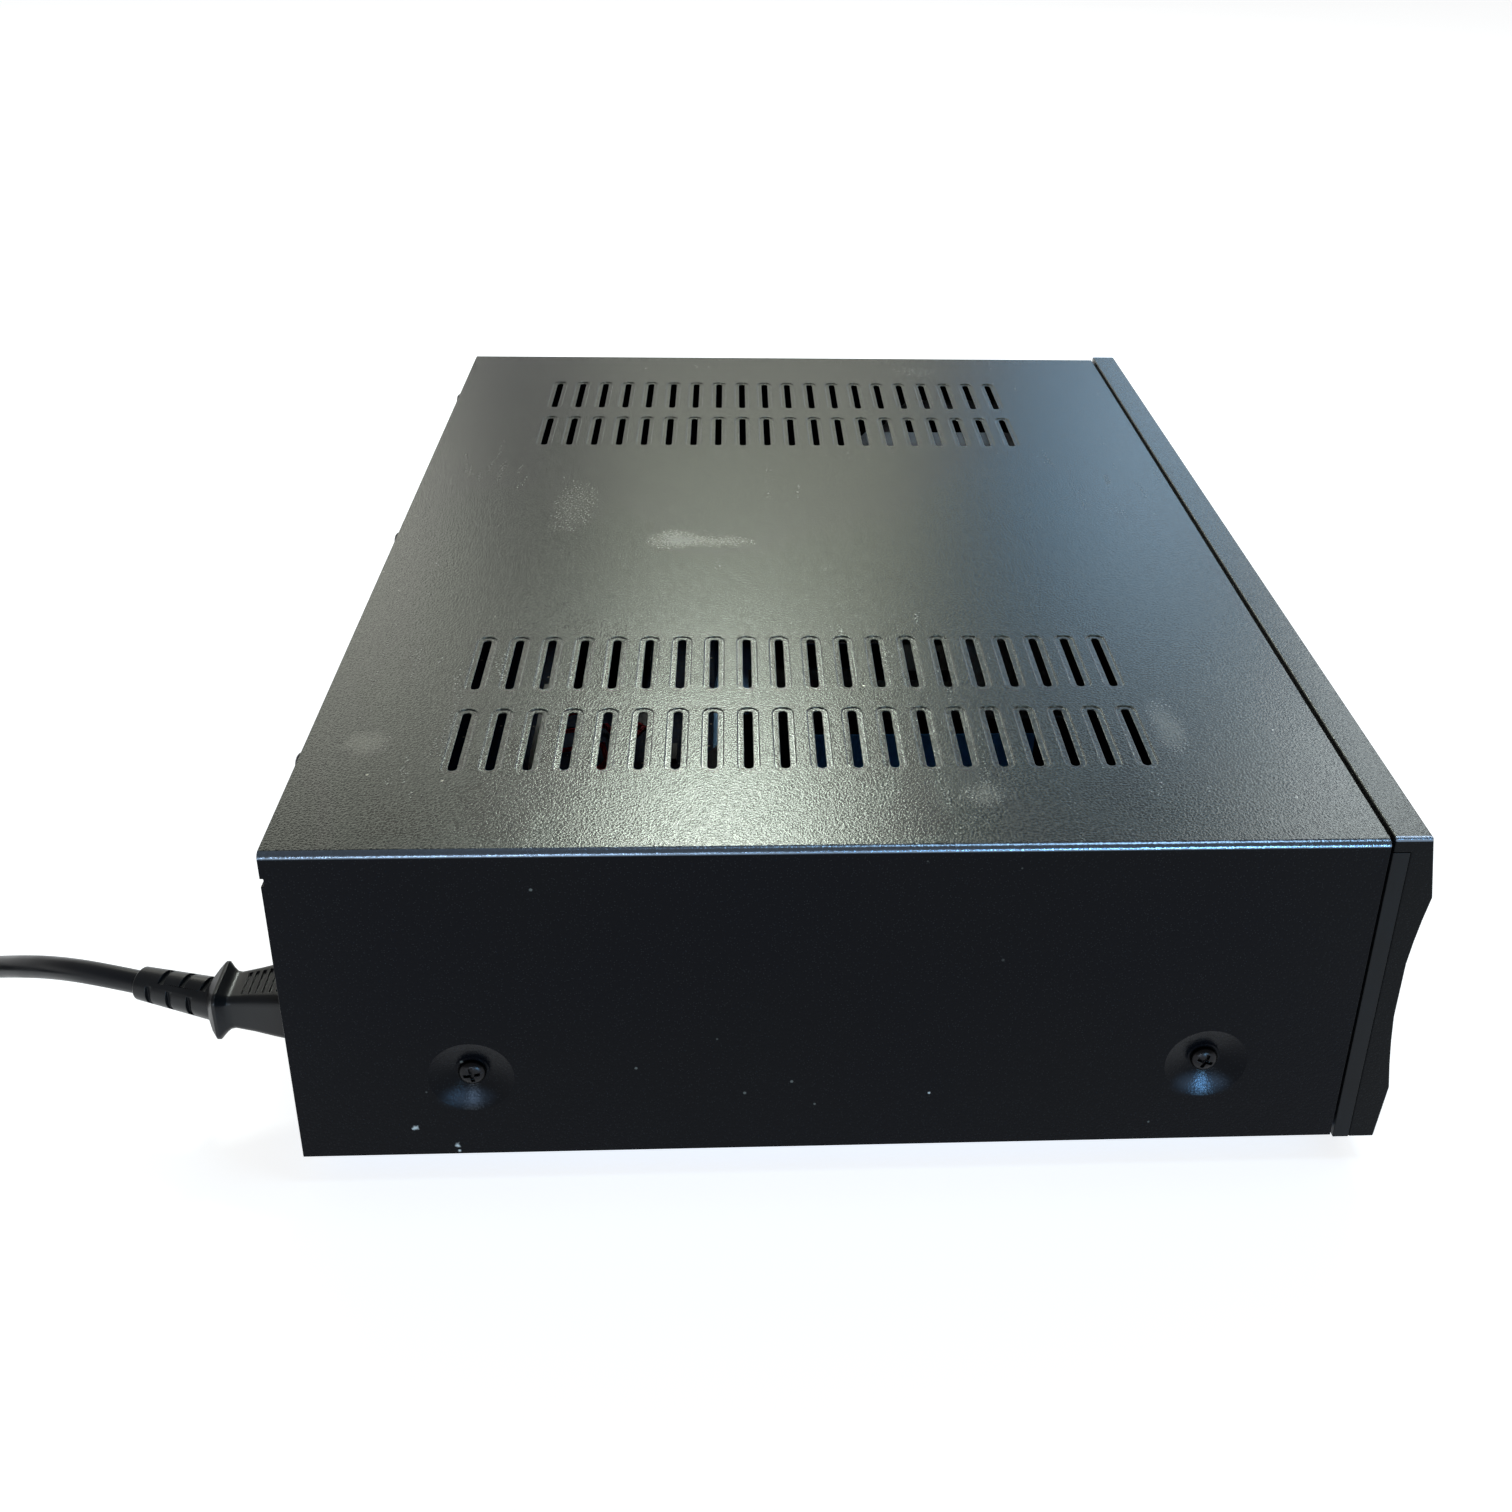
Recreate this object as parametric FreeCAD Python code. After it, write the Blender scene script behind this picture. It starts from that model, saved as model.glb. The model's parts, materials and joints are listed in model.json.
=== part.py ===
import FreeCAD, Part
import math
import os
from FreeCAD import Vector

# Full-width disc player with a front-loading tray, in millimetres.
# X runs across the front with its middle at 0, Y runs to the rear and Z up.
# Each piece is drawn with y = 0 at the seam between the front panel and the cover
# and z = 0 at the table. It is saved with the middle of the depth at y = 0.

# Facets of round forms that don't turn in a bore
TURNED_SIDES = 20
LARGE_SIDES = 36
SMALL_SIDES = 12

# Casing
WIDTH = 435.0
COVER_DEPTH = 318.0
COVER_TOP = 122.0
UNDERSIDE = 10.8
SHEET = 1.0
SEAM_GAP = 0.8
COVER_BEND = 2.0
TOP_LIP = 10.0
SIDE_LIP = 7.0
LIP_RELIEF = 2.6
PANEL_CLEARANCE = 0.1
EASY_GAP = 0.3

# Ventilation slots in the cover
SLOT_ROWS = (109.7, 158.5)
SLOT_COUNT = 20
SLOT_PITCH = 11.07
SLOT_FIRST = 61.16
SLOT_LENGTH = 34.0
SLOT_WIDTH = 3.6
SLOT_END_FACETS = 3

# Dished screw seats in the cover's sides
DISH_DEPTH = 3.0
DISH_RADIUS = 12.75
DISH_FLOOR_RADIUS = 5.0
DISH_PLACES = (44.0, 265.5)
DISH_HEIGHT = 41.0

# Screws
SCREW_RADIUS = 1.5
SCREW_HOLE_RADIUS = 1.7
SCREW_HEAD_RADIUS = 4.2
SCREW_HEAD_HEIGHT = 2.4
SCREW_LENGTH = 5.0
REAR_SCREWS = (-163.0, 0.0, 163.0)
REAR_SCREW_DROP = 6.0

# Chassis
CHASSIS_SHEET = 1.0
FLANGE_TOP = 52.0
FLANGE_FRONT = 20.0
FLANGE_REAR = 300.0
BOARD_HEIGHT = 22.0
TAB_WIDTH = 8.0
FLOOR_VENT_LENGTH = 40.0
FLOOR_VENT_WIDTH = 3.0
FLOOR_VENT_PITCH = 10.0
FLOOR_VENT_COUNT = 8
FLOOR_VENT_X = (-125.0, 125.0)
FLOOR_VENT_FIRST = 215.0
REAR_FLANGE = 10.0

# Front panel, its profile from the side as reach in front of the seam and height
PANEL_TOP = 123.2
PANEL_BOTTOM = 9.9
PANEL_TOP_REACH = 11.4
PANEL_UPPER_REACH = 15.0
PANEL_UPPER_HEIGHT = 102.2
PANEL_BAND_REACH = 11.7
PANEL_BAND_TOP = 78.0
PANEL_BAND_BOTTOM = 58.0
PANEL_LOWER_REACH = 15.2
PANEL_LOWER_HEIGHT = 30.0
PANEL_BOTTOM_REACH = 13.5
PANEL_WALL = 2.5
PANEL_SWEEP = 0.35
PANEL_END = 5.0
PANEL_BACK = 5.5
PANEL_LIP = 5.05
FRAME_PLATE = 2.0
FRAME_RIM = 3.0

# Tray mouth, display window and buttons
TRAY_MOUTH_HALF = 72.5
TRAY_MOUTH_BOTTOM = 59.5
TRAY_MOUTH_TOP = 75.0
DOOR_GAP = 0.5
DOOR_THICK = 5.0
WINDOW_LEFT = 100.0
WINDOW_RIGHT = WIDTH / 2 - 37.5
WINDOW_BOTTOM = 60.0
WINDOW_TOP = 76.0
WINDOW_FLANGE = 1.7
BUTTON_HEIGHT = 68.0
BUTTON_GAP = 0.25
BUTTON_PROUD = 1.0
BUTTON_TRAVEL = 0.7
BUTTON_FLANGE = 1.2
BUTTON_STEM = 2.0
SWITCH_SIZE = 6.0
SWITCH_GAP = 0.9
POWER_BUTTON = (27.5 - WIDTH / 2, 6.0)
PLAY_BUTTON = (WIDTH / 2 - 25.5, 4.0)
STOP_BUTTON = (WIDTH / 2 - 11.5, 4.0)
OPEN_BUTTON = (86.5, 7.0, 3.0)
BOARD_THICK = 1.6
FRONT_BOARD_Y = 2.0
FRONT_BOARD_TOP = 84.0
FRONT_BOARD_STRIP_TOP = 54.0
FRONT_BOARD_BOTTOM = 40.0
FRONT_BOARD_HALF = WIDTH / 2 - 7.5

# Feet
FOOT_X = 170.0
FOOT_FRONT = 36.0
FOOT_REAR = 272.0
FOOT_RADIUS = 20.0
FOOT_NECK_RADIUS = 17.0
FOOT_PAD_RADIUS = 15.0
FOOT_PAD_PROUD = 1.5
FOOT_PAD_THICK = 3.0

# Loader and its tray
LOADER_FRONT = 6.0
LOADER_REAR = 187.5
LOADER_WALL_INNER = 70.0
LOADER_WALL_OUTER = 74.0
LOADER_BOTTOM = 40.0
LOADER_TOP = 78.0
DECK_BOTTOM = 44.0
DECK_TOP = 47.0
DECK_REAR = 43.7
TRAY_BOTTOM = 64.0
TRAY_FLOOR = 2.0
TRAY_RIM = 7.0
TRAY_HALF = 66.0
TRAY_RUNNER_HALF = 69.0
TRAY_RUNNER_THICK = 2.5
TRAY_REAR = 181.5
TRAY_TRAVEL = 152.0
RUN_GAP = 0.3
DISC_WELL_RADIUS = 61.0
SMALL_DISC_RADIUS = 40.5
SPINDLE_Y = 80.0
PICKUP_SLOT_HALF = 23.0
LEDGE_THICK = 2.7
TAB_THICK = 2.0
TAB_PLACES = (10.0, 84.0, 150.0)
TAB_LENGTH = 12.0
LEDGE_INNER = 62.0

# Tray drive
RACK_MODULE = 1.5
TRAY_PINION_TEETH = 20
RACK_PITCH_X = -55.5
RACK_BODY = 2.6
RACK_THICK = 3.8
TRAY_GEAR_Y = 24.0
WHEEL_MODULE = 1.0
WHEEL_TEETH = 30
PINION_TEETH = 12
PINION_SET_BACK = 4.08
WHEEL_BOTTOM = 53.0
WHEEL_THICK = 4.5
GEAR_PIN_RADIUS = 2.0
PIN_CLEARANCE = 0.05
TOOTH_BACKLASH = 0.6
PULLEY_RADIUS = 12.0
MOTOR_PULLEY_RADIUS = 4.0
PULLEY_BOTTOM = 48.5
PULLEY_THICK = 4.0
BELT_THICK = 1.2
BELT_CLEARANCE = 0.22
MOTOR_X = 30.0
MOTOR_Y = 22.0
MOTOR_RADIUS = 12.0
MOTOR_LENGTH = 20.0
MOTOR_SHAFT_RADIUS = 1.0

# Cam slider that raises and lowers the traverse
SLIDER_FRONT = 44.0
SLIDER_THICK = 3.5
SLIDER_HALF = 40.0
SLIDER_BOTTOM = 30.0
SLIDER_TOP = 49.5
SLIDER_TRAVEL = 18.0
CAM_PIN_X = 20.0
CAM_PIN_RADIUS = 1.5
CAM_GAP = 0.4
HINGE_Y = 166.0
HINGE_Z = 45.5
TILT_DEGREES = 5.9

# Traverse
TRAVERSE_FRONT = 52.0
TRAVERSE_HALF = 46.0
TRAVERSE_REAR = 170.0
TRAVERSE_HOLE_HALF = 27.0
TRAVERSE_HOLE_FRONT = 100.0
HINGE_PIN_RADIUS = 2.0
HINGE_PIN_LENGTH = 6.0
ROD_X = 34.0
ROD_Z = 52.5
ROD_RADIUS = 1.5
ROD_FRONT = 86.0
ROD_REAR = 163.0
POST_WIDTH = 7.0
POST_LENGTH = 4.0
LEAD_X = -42.0
LEAD_RADIUS = 1.5
SLED_MOTOR_RADIUS = 5.5
SLED_MOTOR_FRONT = 64.0
SLED_FRONT = 97.0
SLED_REAR = 123.0
SLED_HALF = 38.0
SLED_TRAVEL = 34.0
SLED_LENS_OFFSET = 8.0
SLED_BODY_THICK = 8.5
LENS_RADIUS = 3.2
LENS_TOP = 66.0
STATOR_RADIUS = 11.0
BEARING_RADIUS = 4.0
SPINDLE_RADIUS = 1.5
ROTOR_RADIUS = 13.0
ROTOR_WALL = 1.2
TURNTABLE_RADIUS = 15.5
TURNTABLE_TOP = 67.5
CONE_RADIUS = 7.4
CONE_HEIGHT = 2.8
DISC_THICK = 1.2

# Clamp
BRIDGE_FRONT = 62.0
BRIDGE_REAR = 98.0
BRIDGE_HOLE_RADIUS = 12.0
PUCK_NECK_RADIUS = 11.0
PUCK_FLANGE_RADIUS = 16.0
PUCK_FLANGE_THICK = 2.0
PUCK_RING_RADIUS = 14.5
PUCK_RING_BORE = 9.0
PUCK_RING_THICK = 3.0

# Sheet-metal brackets that carry the loader
BRACKET_X = 87.0
BRACKET_FRONT = 45.0
BRACKET_REAR = 175.0
BRACKET_STEP = 50.0
BRACKET_TOP = 79.5
BRACKET_TOP_FRONT = 78.0
BRACKET_TOP_REAR = 165.0
BRACKET_FOOT = 10.0
EAR_PLACES = ((55.0, 70.0), (150.0, 165.0))

# Boards and what stands on them
POWER_BOARD_LEFT = 10.5 - WIDTH / 2
POWER_BOARD_RIGHT = -100.0
POWER_BOARD_FRONT = 150.0
POWER_BOARD_REAR = 312.0
MAIN_BOARD_LEFT = -80.0
MAIN_BOARD_RIGHT = WIDTH / 2 - 10.5
MAIN_BOARD_FRONT = 60.0
MAIN_BOARD_STEP_Y = 196.0
MAIN_BOARD_STEP_X = 104.0
MAIN_BOARD_NOTCH_X = -28.0
MAIN_BOARD_NOTCH_Y = 297.0
SINK_X = 80.0
SINK_Y = 245.0
SINK_SIDE = 40.0
SINK_HEIGHT = 22.0
SINK_FINS = 8
SINK_FIN = 1.2
SINK_BASE = 4.0
CHIP_THICK = 1.6
POWER_SINK_X = -124.0
POWER_SINK_Y = 232.0
POWER_SINK_LENGTH = 56.0
POWER_SINK_HEIGHT = 38.0
POWER_SINK_FINS = 5
TRANSFORMER_X = -150.0
TRANSFORMER_Y = 232.0
CAPACITOR_X = POWER_BOARD_LEFT + 17.0
CAPACITOR_PLACES = (168.0, 196.0, 266.0)
CAPACITOR_RADIUS = 12.0
CAPACITOR_HEIGHT = 32.0

# Sockets in the rear panel
INLET_X = -173.0
INLET_Z = 34.4
INLET_HALF_WIDTH = 13.5
INLET_HALF_HEIGHT = 10.8
INLET_FLANGE = 1.5
INLET_CAVITY_HALF_WIDTH = 12.1
INLET_CAVITY_HALF_HEIGHT = 8.2
INLET_DEPTH = 16.0
JACK_X = (145.0, 165.0)
JACK_Z = (34.0, 52.0)
JACK_REACH = 9.0
JACK_RADIUS = 4.1
JACK_BORE_RADIUS = 1.6
JACK_HOLE_RADIUS = 5.0
HDMI_X = 40.0
HDMI_HALF = 7.5
HDMI_TALL = 6.0
NETWORK_X = 90.0
NETWORK_HALF = 8.0
NETWORK_TALL = 13.6
SOCKET_PROUD = 0.6
SOCKET_CLEARANCE = 0.3

# Fan at the rear
FAN_X = -65.0
FAN_Z = 60.0
FAN_SIDE = 60.0
FAN_DEPTH = 15.0
FAN_BORE_RADIUS = 28.0
FAN_HUB_RADIUS = 11.0
FAN_BLADES = 7
FAN_BLADE_THICK = 1.2
FAN_TIP_GAP = 1.0
FAN_SHAFT_RADIUS = 1.5

# Mains cord
CORD_DIAMETER = 7.5
CORD_SIDES = 8
COIL_SIDES = 6
NOSE_CLEARANCE = 0.3
COLLAR_Y = 351.5
RELIEF_LENGTH = 22.0
RELIEF_TURN = 18.0
RELIEF_RADII = (6.5, 5.4)
COIL_MIDDLE_RADIUS = 44.0
COIL_PITCH = 9.4
COIL_RISE = 8.3
COIL_HALF_TURNS = 3
COIL_EXIT_RADIUS = 72.0
COIL_CLEAR = 0.32
# The free stretch from the strain relief's end to the coil, hand-set: a first run
# in line with the relief, then points as x, y behind the seam and height.
CORD_FIRST_RUN = 22.0
CORD_POINTS = (
    (-149.5, 413.0, 29.5),
    (-137.5, 432.0, 20.5),
    (-125.0, 450.0, 10.0),
    (-112.0, 469.0, CORD_DIAMETER / 2 + COIL_CLEAR),
    (-100.0, 487.5, CORD_DIAMETER / 2 + COIL_CLEAR),
)

# Worked out from the sizes above
HALF = WIDTH / 2
CHASSIS_HALF = HALF - DISH_DEPTH - SHEET
FLOOR_TOP = UNDERSIDE + CHASSIS_SHEET
INSIDE_TOP = COVER_TOP - SHEET
REAR_FACE = COVER_DEPTH - SHEET - PANEL_CLEARANCE
PANEL_REAR = -SEAM_GAP / 2
REAR_REACH = REAR_FACE + JACK_REACH
SEAM_Y = (PANEL_LOWER_REACH - REAR_REACH) / 2
BOARD_TOP = BOARD_HEIGHT + BOARD_THICK
CORD_RADIUS = CORD_DIAMETER / 2


def block(x, y, z):
    """A box from three pairs of limits."""
    return Part.makeBox(x[1] - x[0], y[1] - y[0], z[1] - z[0], Vector(x[0], y[0], z[0]))


def rod(radius, start, direction, length, sides=0):
    """A round bar, or a many-sided one where sides are given."""
    if not sides:
        return Part.makeCylinder(radius, length, Vector(*start), Vector(*direction))
    along = Vector(*direction).normalize()
    outline = many_sided(Vector(*start), along, radius, sides)
    return Part.Face(outline).extrude(along * length)


def many_sided(centre, direction, radius, sides):
    """Closed outline round a centre, square to a direction, with flats at this radius."""
    points = corners_round(centre, direction, radius, sides)
    return Part.makePolygon(points + points[:1])


def corners_round(centre, direction, radius, sides):
    """The corners of that outline, with a flat facing up and one facing down."""
    along = Vector(direction).normalize()
    across = Vector(0, 0, 1).cross(along)
    across = across.normalize() if across.Length > 0.01 else Vector(1, 0, 0)
    up = along.cross(across)
    corner = radius / math.cos(math.pi / sides)
    points = []
    for i in range(sides):
        angle = math.pi / 2 + 2 * math.pi * (i + 0.5) / sides
        points.append(centre + across * (corner * math.cos(angle)) + up * (corner * math.sin(angle)))
    return points


def skinned(outlines):
    """A solid in flat facets through outlines that have the same number of corners."""
    faces = [Part.Face(Part.makePolygon(o + o[:1])) for o in (outlines[0], outlines[-1])]
    count = len(outlines[0])
    for near, far in zip(outlines, outlines[1:]):
        for i in range(count):
            j = (i + 1) % count
            for corners in ([near[i], near[j], far[j]], [near[i], far[j], far[i]]):
                faces.append(Part.Face(Part.makePolygon(corners + corners[:1])))
    solid = Part.Solid(Part.Shell(faces))
    return (solid if solid.Volume > 0 else solid.reversed()).removeSplitter()


def taper(radii, start, direction, length, sides):
    """A many-sided bar that tapers from one radius to another."""
    along = Vector(*direction).normalize()
    first = Vector(*start)
    ends = [
        corners_round(first, along, radii[0], sides),
        corners_round(first + along * length, along, radii[1], sides),
    ]
    return skinned(ends)


def ring(outer, inner, start, direction, length):
    """A round tube."""
    return rod(outer, start, direction, length).cut(rod(inner, start, direction, length))


def plate(points, direction):
    """A flat outline of straight sides, carried along a direction."""
    corners = [Vector(*p) for p in points]
    return Part.Face(Part.makePolygon(corners + corners[:1])).extrude(Vector(*direction))


def turned(points, centre, sides=TURNED_SIDES):
    """A turned form in flat facets about a vertical axis, from radius and height pairs."""

    def at(pair, i):
        angle = 2 * math.pi * (i + 0.5) / sides
        reach = pair[0] / math.cos(math.pi / sides)
        return Vector(
            centre[0] + reach * math.cos(angle), centre[1] + reach * math.sin(angle), pair[1]
        )

    faces = []
    for a, b in zip(points, points[1:] + points[:1]):
        if a[0] == 0 and b[0] == 0:
            continue
        for i in range(sides):
            corners = [at(a, i), at(b, i)]
            corners += [at(b, i + 1)] if b[0] else []
            corners += [at(a, i + 1)] if a[0] else []
            faces.append(Part.Face(Part.makePolygon(corners + corners[:1])))
    solid = Part.Solid(Part.Shell(faces))
    return (solid if solid.Volume > 0 else solid.reversed()).removeSplitter()


def joined(pieces):
    """Several solids that touch, made one."""
    pieces = list(pieces)
    return pieces[0].multiFuse(pieces[1:]).removeSplitter()


def without(solid, cuts):
    """A solid less a list of others."""
    return solid.cut(Part.makeCompound(list(cuts)))


def mirrored(solid):
    """The same piece on the other side."""
    return solid.mirror(Vector(0, 0, 0), Vector(1, 0, 0))


def both_sides(solid):
    """A piece with its mirror image."""
    return [solid, mirrored(solid)]


def save(name, *solids):
    """Writes one node, moved so that the depth is centred."""
    shape = solids[0] if len(solids) == 1 else Part.makeCompound(list(solids))
    shape = shape.copy()
    shape.translate(Vector(0, SEAM_Y, 0))
    shape.exportStep("parts/" + name + ".step")


# Casing


def slot_cutter(x, y):
    """One ventilation slot, round at both ends."""
    straight = (SLOT_LENGTH - SLOT_WIDTH) / 2
    points = []
    for end in (1, -1):
        for step in range(SLOT_END_FACETS + 1):
            angle = math.pi * (step / SLOT_END_FACETS - 0.5)
            dx = math.cos(angle) * SLOT_WIDTH / 2 + straight
            dy = math.sin(angle) * SLOT_WIDTH / 2
            points.append((x + end * dx, y + end * dy, INSIDE_TOP - SHEET))
    return plate(points, (0, 0, 3 * SHEET))


def slot_places():
    """Middle of every slot: two rows on each side."""
    rows = [side * row for side in (-1, 1) for row in SLOT_ROWS]
    return [(x, SLOT_FIRST + i * SLOT_PITCH) for x in rows for i in range(SLOT_COUNT)]


def dish(y, outward, skin):
    """The dished seat's cone, measured from the outside face or the inside one."""
    start = (outward * (HALF - skin), y, DISH_HEIGHT)
    radii = (DISH_RADIUS, DISH_FLOOR_RADIUS)
    return taper(radii, start, (-outward, 0, 0), DISH_DEPTH, TURNED_SIDES)


def top_cover():
    """Folded sheet cover: top, two sides and narrow lips round the back."""
    shell = block((-HALF, HALF), (-PANEL_REAR, COVER_DEPTH), (UNDERSIDE, COVER_TOP))
    long_top = [
        e
        for e in shell.Edges
        if abs(e.BoundBox.ZMin - COVER_TOP) < 0.01 and e.BoundBox.YLength > SHEET
    ]
    shell = shell.makeFillet(COVER_BEND, [e for e in long_top if e.BoundBox.XLength < 1])
    room = block(
        (SHEET - HALF, HALF - SHEET),
        (-PANEL_REAR - SHEET, COVER_DEPTH - SHEET),
        (UNDERSIDE - SHEET, INSIDE_TOP),
    )
    window = block(
        (SHEET + SIDE_LIP - HALF, HALF - SHEET - SIDE_LIP),
        (COVER_DEPTH - 2 * SHEET, COVER_DEPTH + SHEET),
        (UNDERSIDE - SHEET, INSIDE_TOP - TOP_LIP),
    )
    cuts = [room, window]
    relief_z = INSIDE_TOP - TOP_LIP
    for side in (-1, 1):
        near, far = sorted((side * (HALF - SIDE_LIP - 2 * SHEET), side * (HALF + SHEET)))
        cuts.append(
            block(
                (near, far),
                (COVER_DEPTH - SHEET, COVER_DEPTH + SHEET),
                (relief_z, relief_z + LIP_RELIEF),
            )
        )
    for x in REAR_SCREWS:
        start = (x, COVER_DEPTH - 2 * SHEET, COVER_TOP - REAR_SCREW_DROP)
        cuts.append(rod(SCREW_HOLE_RADIUS, start, (0, 1, 0), 3 * SHEET, SMALL_SIDES))
    shell = without(shell, cuts)
    for side in (-1, 1):
        for y in DISH_PLACES:
            shell = shell.fuse(dish(y, side, SHEET))
    holes = [slot_cutter(x, y) for x, y in slot_places()]
    for side in (-1, 1):
        for y in DISH_PLACES:
            holes.append(dish(y, side, 0))
            start = (side * HALF, y, DISH_HEIGHT)
            holes.append(rod(SCREW_HOLE_RADIUS, start, (-side, 0, 0), 2 * DISH_DEPTH, SMALL_SIDES))
    return without(shell, holes).removeSplitter()


def board_tab(x, y):
    """A tab lanced out of the chassis floor that carries a board's corner."""
    half = TAB_WIDTH / 2
    top = BOARD_HEIGHT
    leg = block((x, x + CHASSIS_SHEET), (y - half, y + half), (FLOOR_TOP, top))
    seat = block((x, x + TAB_WIDTH), (y - half, y + half), (top - CHASSIS_SHEET, top))
    return leg.fuse(seat)


def board_tabs():
    """Tabs under both boards."""
    inset = 2 * TAB_WIDTH
    power_x = (POWER_BOARD_LEFT + TAB_WIDTH, POWER_BOARD_RIGHT - inset)
    power_y = (POWER_BOARD_FRONT + TAB_WIDTH, POWER_BOARD_REAR - inset)
    places = [(x, y) for x in power_x for y in power_y]
    main_x = (MAIN_BOARD_LEFT + TAB_WIDTH, MAIN_BOARD_RIGHT - inset)
    main_y = (MAIN_BOARD_STEP_Y + TAB_WIDTH, MAIN_BOARD_NOTCH_Y - inset)
    places += [(x, y) for x in main_x for y in main_y]
    front_y = MAIN_BOARD_FRONT + TAB_WIDTH
    places += [(MAIN_BOARD_STEP_X + TAB_WIDTH, front_y), (MAIN_BOARD_RIGHT - inset, front_y)]
    return [board_tab(x, y) for x, y in places]


def front_wall_openings():
    """Openings in the chassis's front wall for the tray, display and switches."""
    depth = (PANEL_REAR - SHEET, PANEL_REAR + 2 * CHASSIS_SHEET)
    margin = 2.0
    tray = block(
        (-TRAY_MOUTH_HALF - margin, TRAY_MOUTH_HALF + margin),
        depth,
        (TRAY_MOUTH_BOTTOM - margin, TRAY_MOUTH_TOP + margin),
    )
    low = FRONT_BOARD_BOTTOM - 1
    right = block(
        (TRAY_MOUTH_HALF + 3 * margin, FRONT_BOARD_HALF + 1), depth, (low, FRONT_BOARD_TOP + 1)
    )
    power = POWER_BUTTON[0]
    left = block((-FRONT_BOARD_HALF, power + 18), depth, (low, BUTTON_HEIGHT + 12))
    return [tray, right, left]


def chassis_front():
    """Upright front plate that closes the chassis behind the front frame."""
    plate_front = block(
        (-CHASSIS_HALF, CHASSIS_HALF),
        (PANEL_REAR, PANEL_REAR + CHASSIS_SHEET),
        (UNDERSIDE, INSIDE_TOP - EASY_GAP),
    )
    return without(plate_front, front_wall_openings())


def chassis_pan():
    """Floor with bent-up sides, board tabs and floor vents."""
    floor = block(
        (-CHASSIS_HALF, CHASSIS_HALF),
        (PANEL_REAR + CHASSIS_SHEET, REAR_FACE - CHASSIS_SHEET),
        (UNDERSIDE, FLOOR_TOP),
    )
    side = block(
        (CHASSIS_HALF - CHASSIS_SHEET, CHASSIS_HALF), (FLANGE_FRONT, FLANGE_REAR), (UNDERSIDE, FLANGE_TOP)
    )
    pan = joined([floor] + both_sides(side) + board_tabs())
    cuts = []
    for side in (-1, 1):
        for y in DISH_PLACES:
            start = (side * (HALF - DISH_DEPTH), y, DISH_HEIGHT)
            cuts.append(rod(SCREW_HOLE_RADIUS, start, (-side, 0, 0), 3 * DISH_DEPTH, SMALL_SIDES))
    for x in FLOOR_VENT_X:
        for i in range(FLOOR_VENT_COUNT):
            y = FLOOR_VENT_FIRST + i * FLOOR_VENT_PITCH
            cuts.append(
                block(
                    (x - FLOOR_VENT_LENGTH / 2, x + FLOOR_VENT_LENGTH / 2),
                    (y, y + FLOOR_VENT_WIDTH),
                    (UNDERSIDE - SHEET, FLOOR_TOP + SHEET),
                )
            )
    return without(pan, cuts)


def rear_panel():
    """Flat rear plate with folded edges, socket holes and the fan's grille."""
    back = (REAR_FACE - CHASSIS_SHEET, REAR_FACE)
    fold = (REAR_FACE - REAR_FLANGE, REAR_FACE)
    wide = (-CHASSIS_HALF, CHASSIS_HALF)
    top = INSIDE_TOP - EASY_GAP
    panel = joined(
        [
            block(wide, back, (FLOOR_TOP, top)),
            block(wide, fold, (FLOOR_TOP, FLOOR_TOP + CHASSIS_SHEET)),
            block(wide, fold, (top - CHASSIS_SHEET, top)),
        ]
    )
    through = (REAR_FACE - 2 * CHASSIS_SHEET, REAR_FACE + CHASSIS_SHEET)
    gap = SOCKET_CLEARANCE
    cuts = [
        block(
            (INLET_X - INLET_HALF_WIDTH - gap, INLET_X + INLET_HALF_WIDTH + gap),
            through,
            (INLET_Z - INLET_HALF_HEIGHT - gap, INLET_Z + INLET_HALF_HEIGHT + gap),
        ),
        block(
            (HDMI_X - HDMI_HALF - gap, HDMI_X + HDMI_HALF + gap),
            through,
            (BOARD_TOP - gap, BOARD_TOP + HDMI_TALL + gap),
        ),
        block(
            (NETWORK_X - NETWORK_HALF - gap, NETWORK_X + NETWORK_HALF + gap),
            through,
            (BOARD_TOP - gap, BOARD_TOP + NETWORK_TALL + gap),
        ),
    ]
    for x in JACK_X:
        for z in JACK_Z:
            start = (x, through[0], z)
            cuts.append(rod(JACK_HOLE_RADIUS, start, (0, 1, 0), 3 * CHASSIS_SHEET, SMALL_SIDES))
    for x in REAR_SCREWS:
        start = (x, through[0], COVER_TOP - REAR_SCREW_DROP)
        cuts.append(rod(SCREW_HOLE_RADIUS, start, (0, 1, 0), 3 * CHASSIS_SHEET, SMALL_SIDES))
    bars = 7
    pitch = 2 * FAN_BORE_RADIUS / bars
    for i in range(bars):
        z = FAN_Z + (i - (bars - 1) / 2) * pitch
        reach = math.sqrt(FAN_BORE_RADIUS**2 - (abs(z - FAN_Z) + pitch / 4) ** 2)
        cuts.append(
            block((FAN_X - reach, FAN_X + reach), through, (z - pitch / 4, z + pitch / 4))
        )
    return without(panel, cuts)


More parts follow.
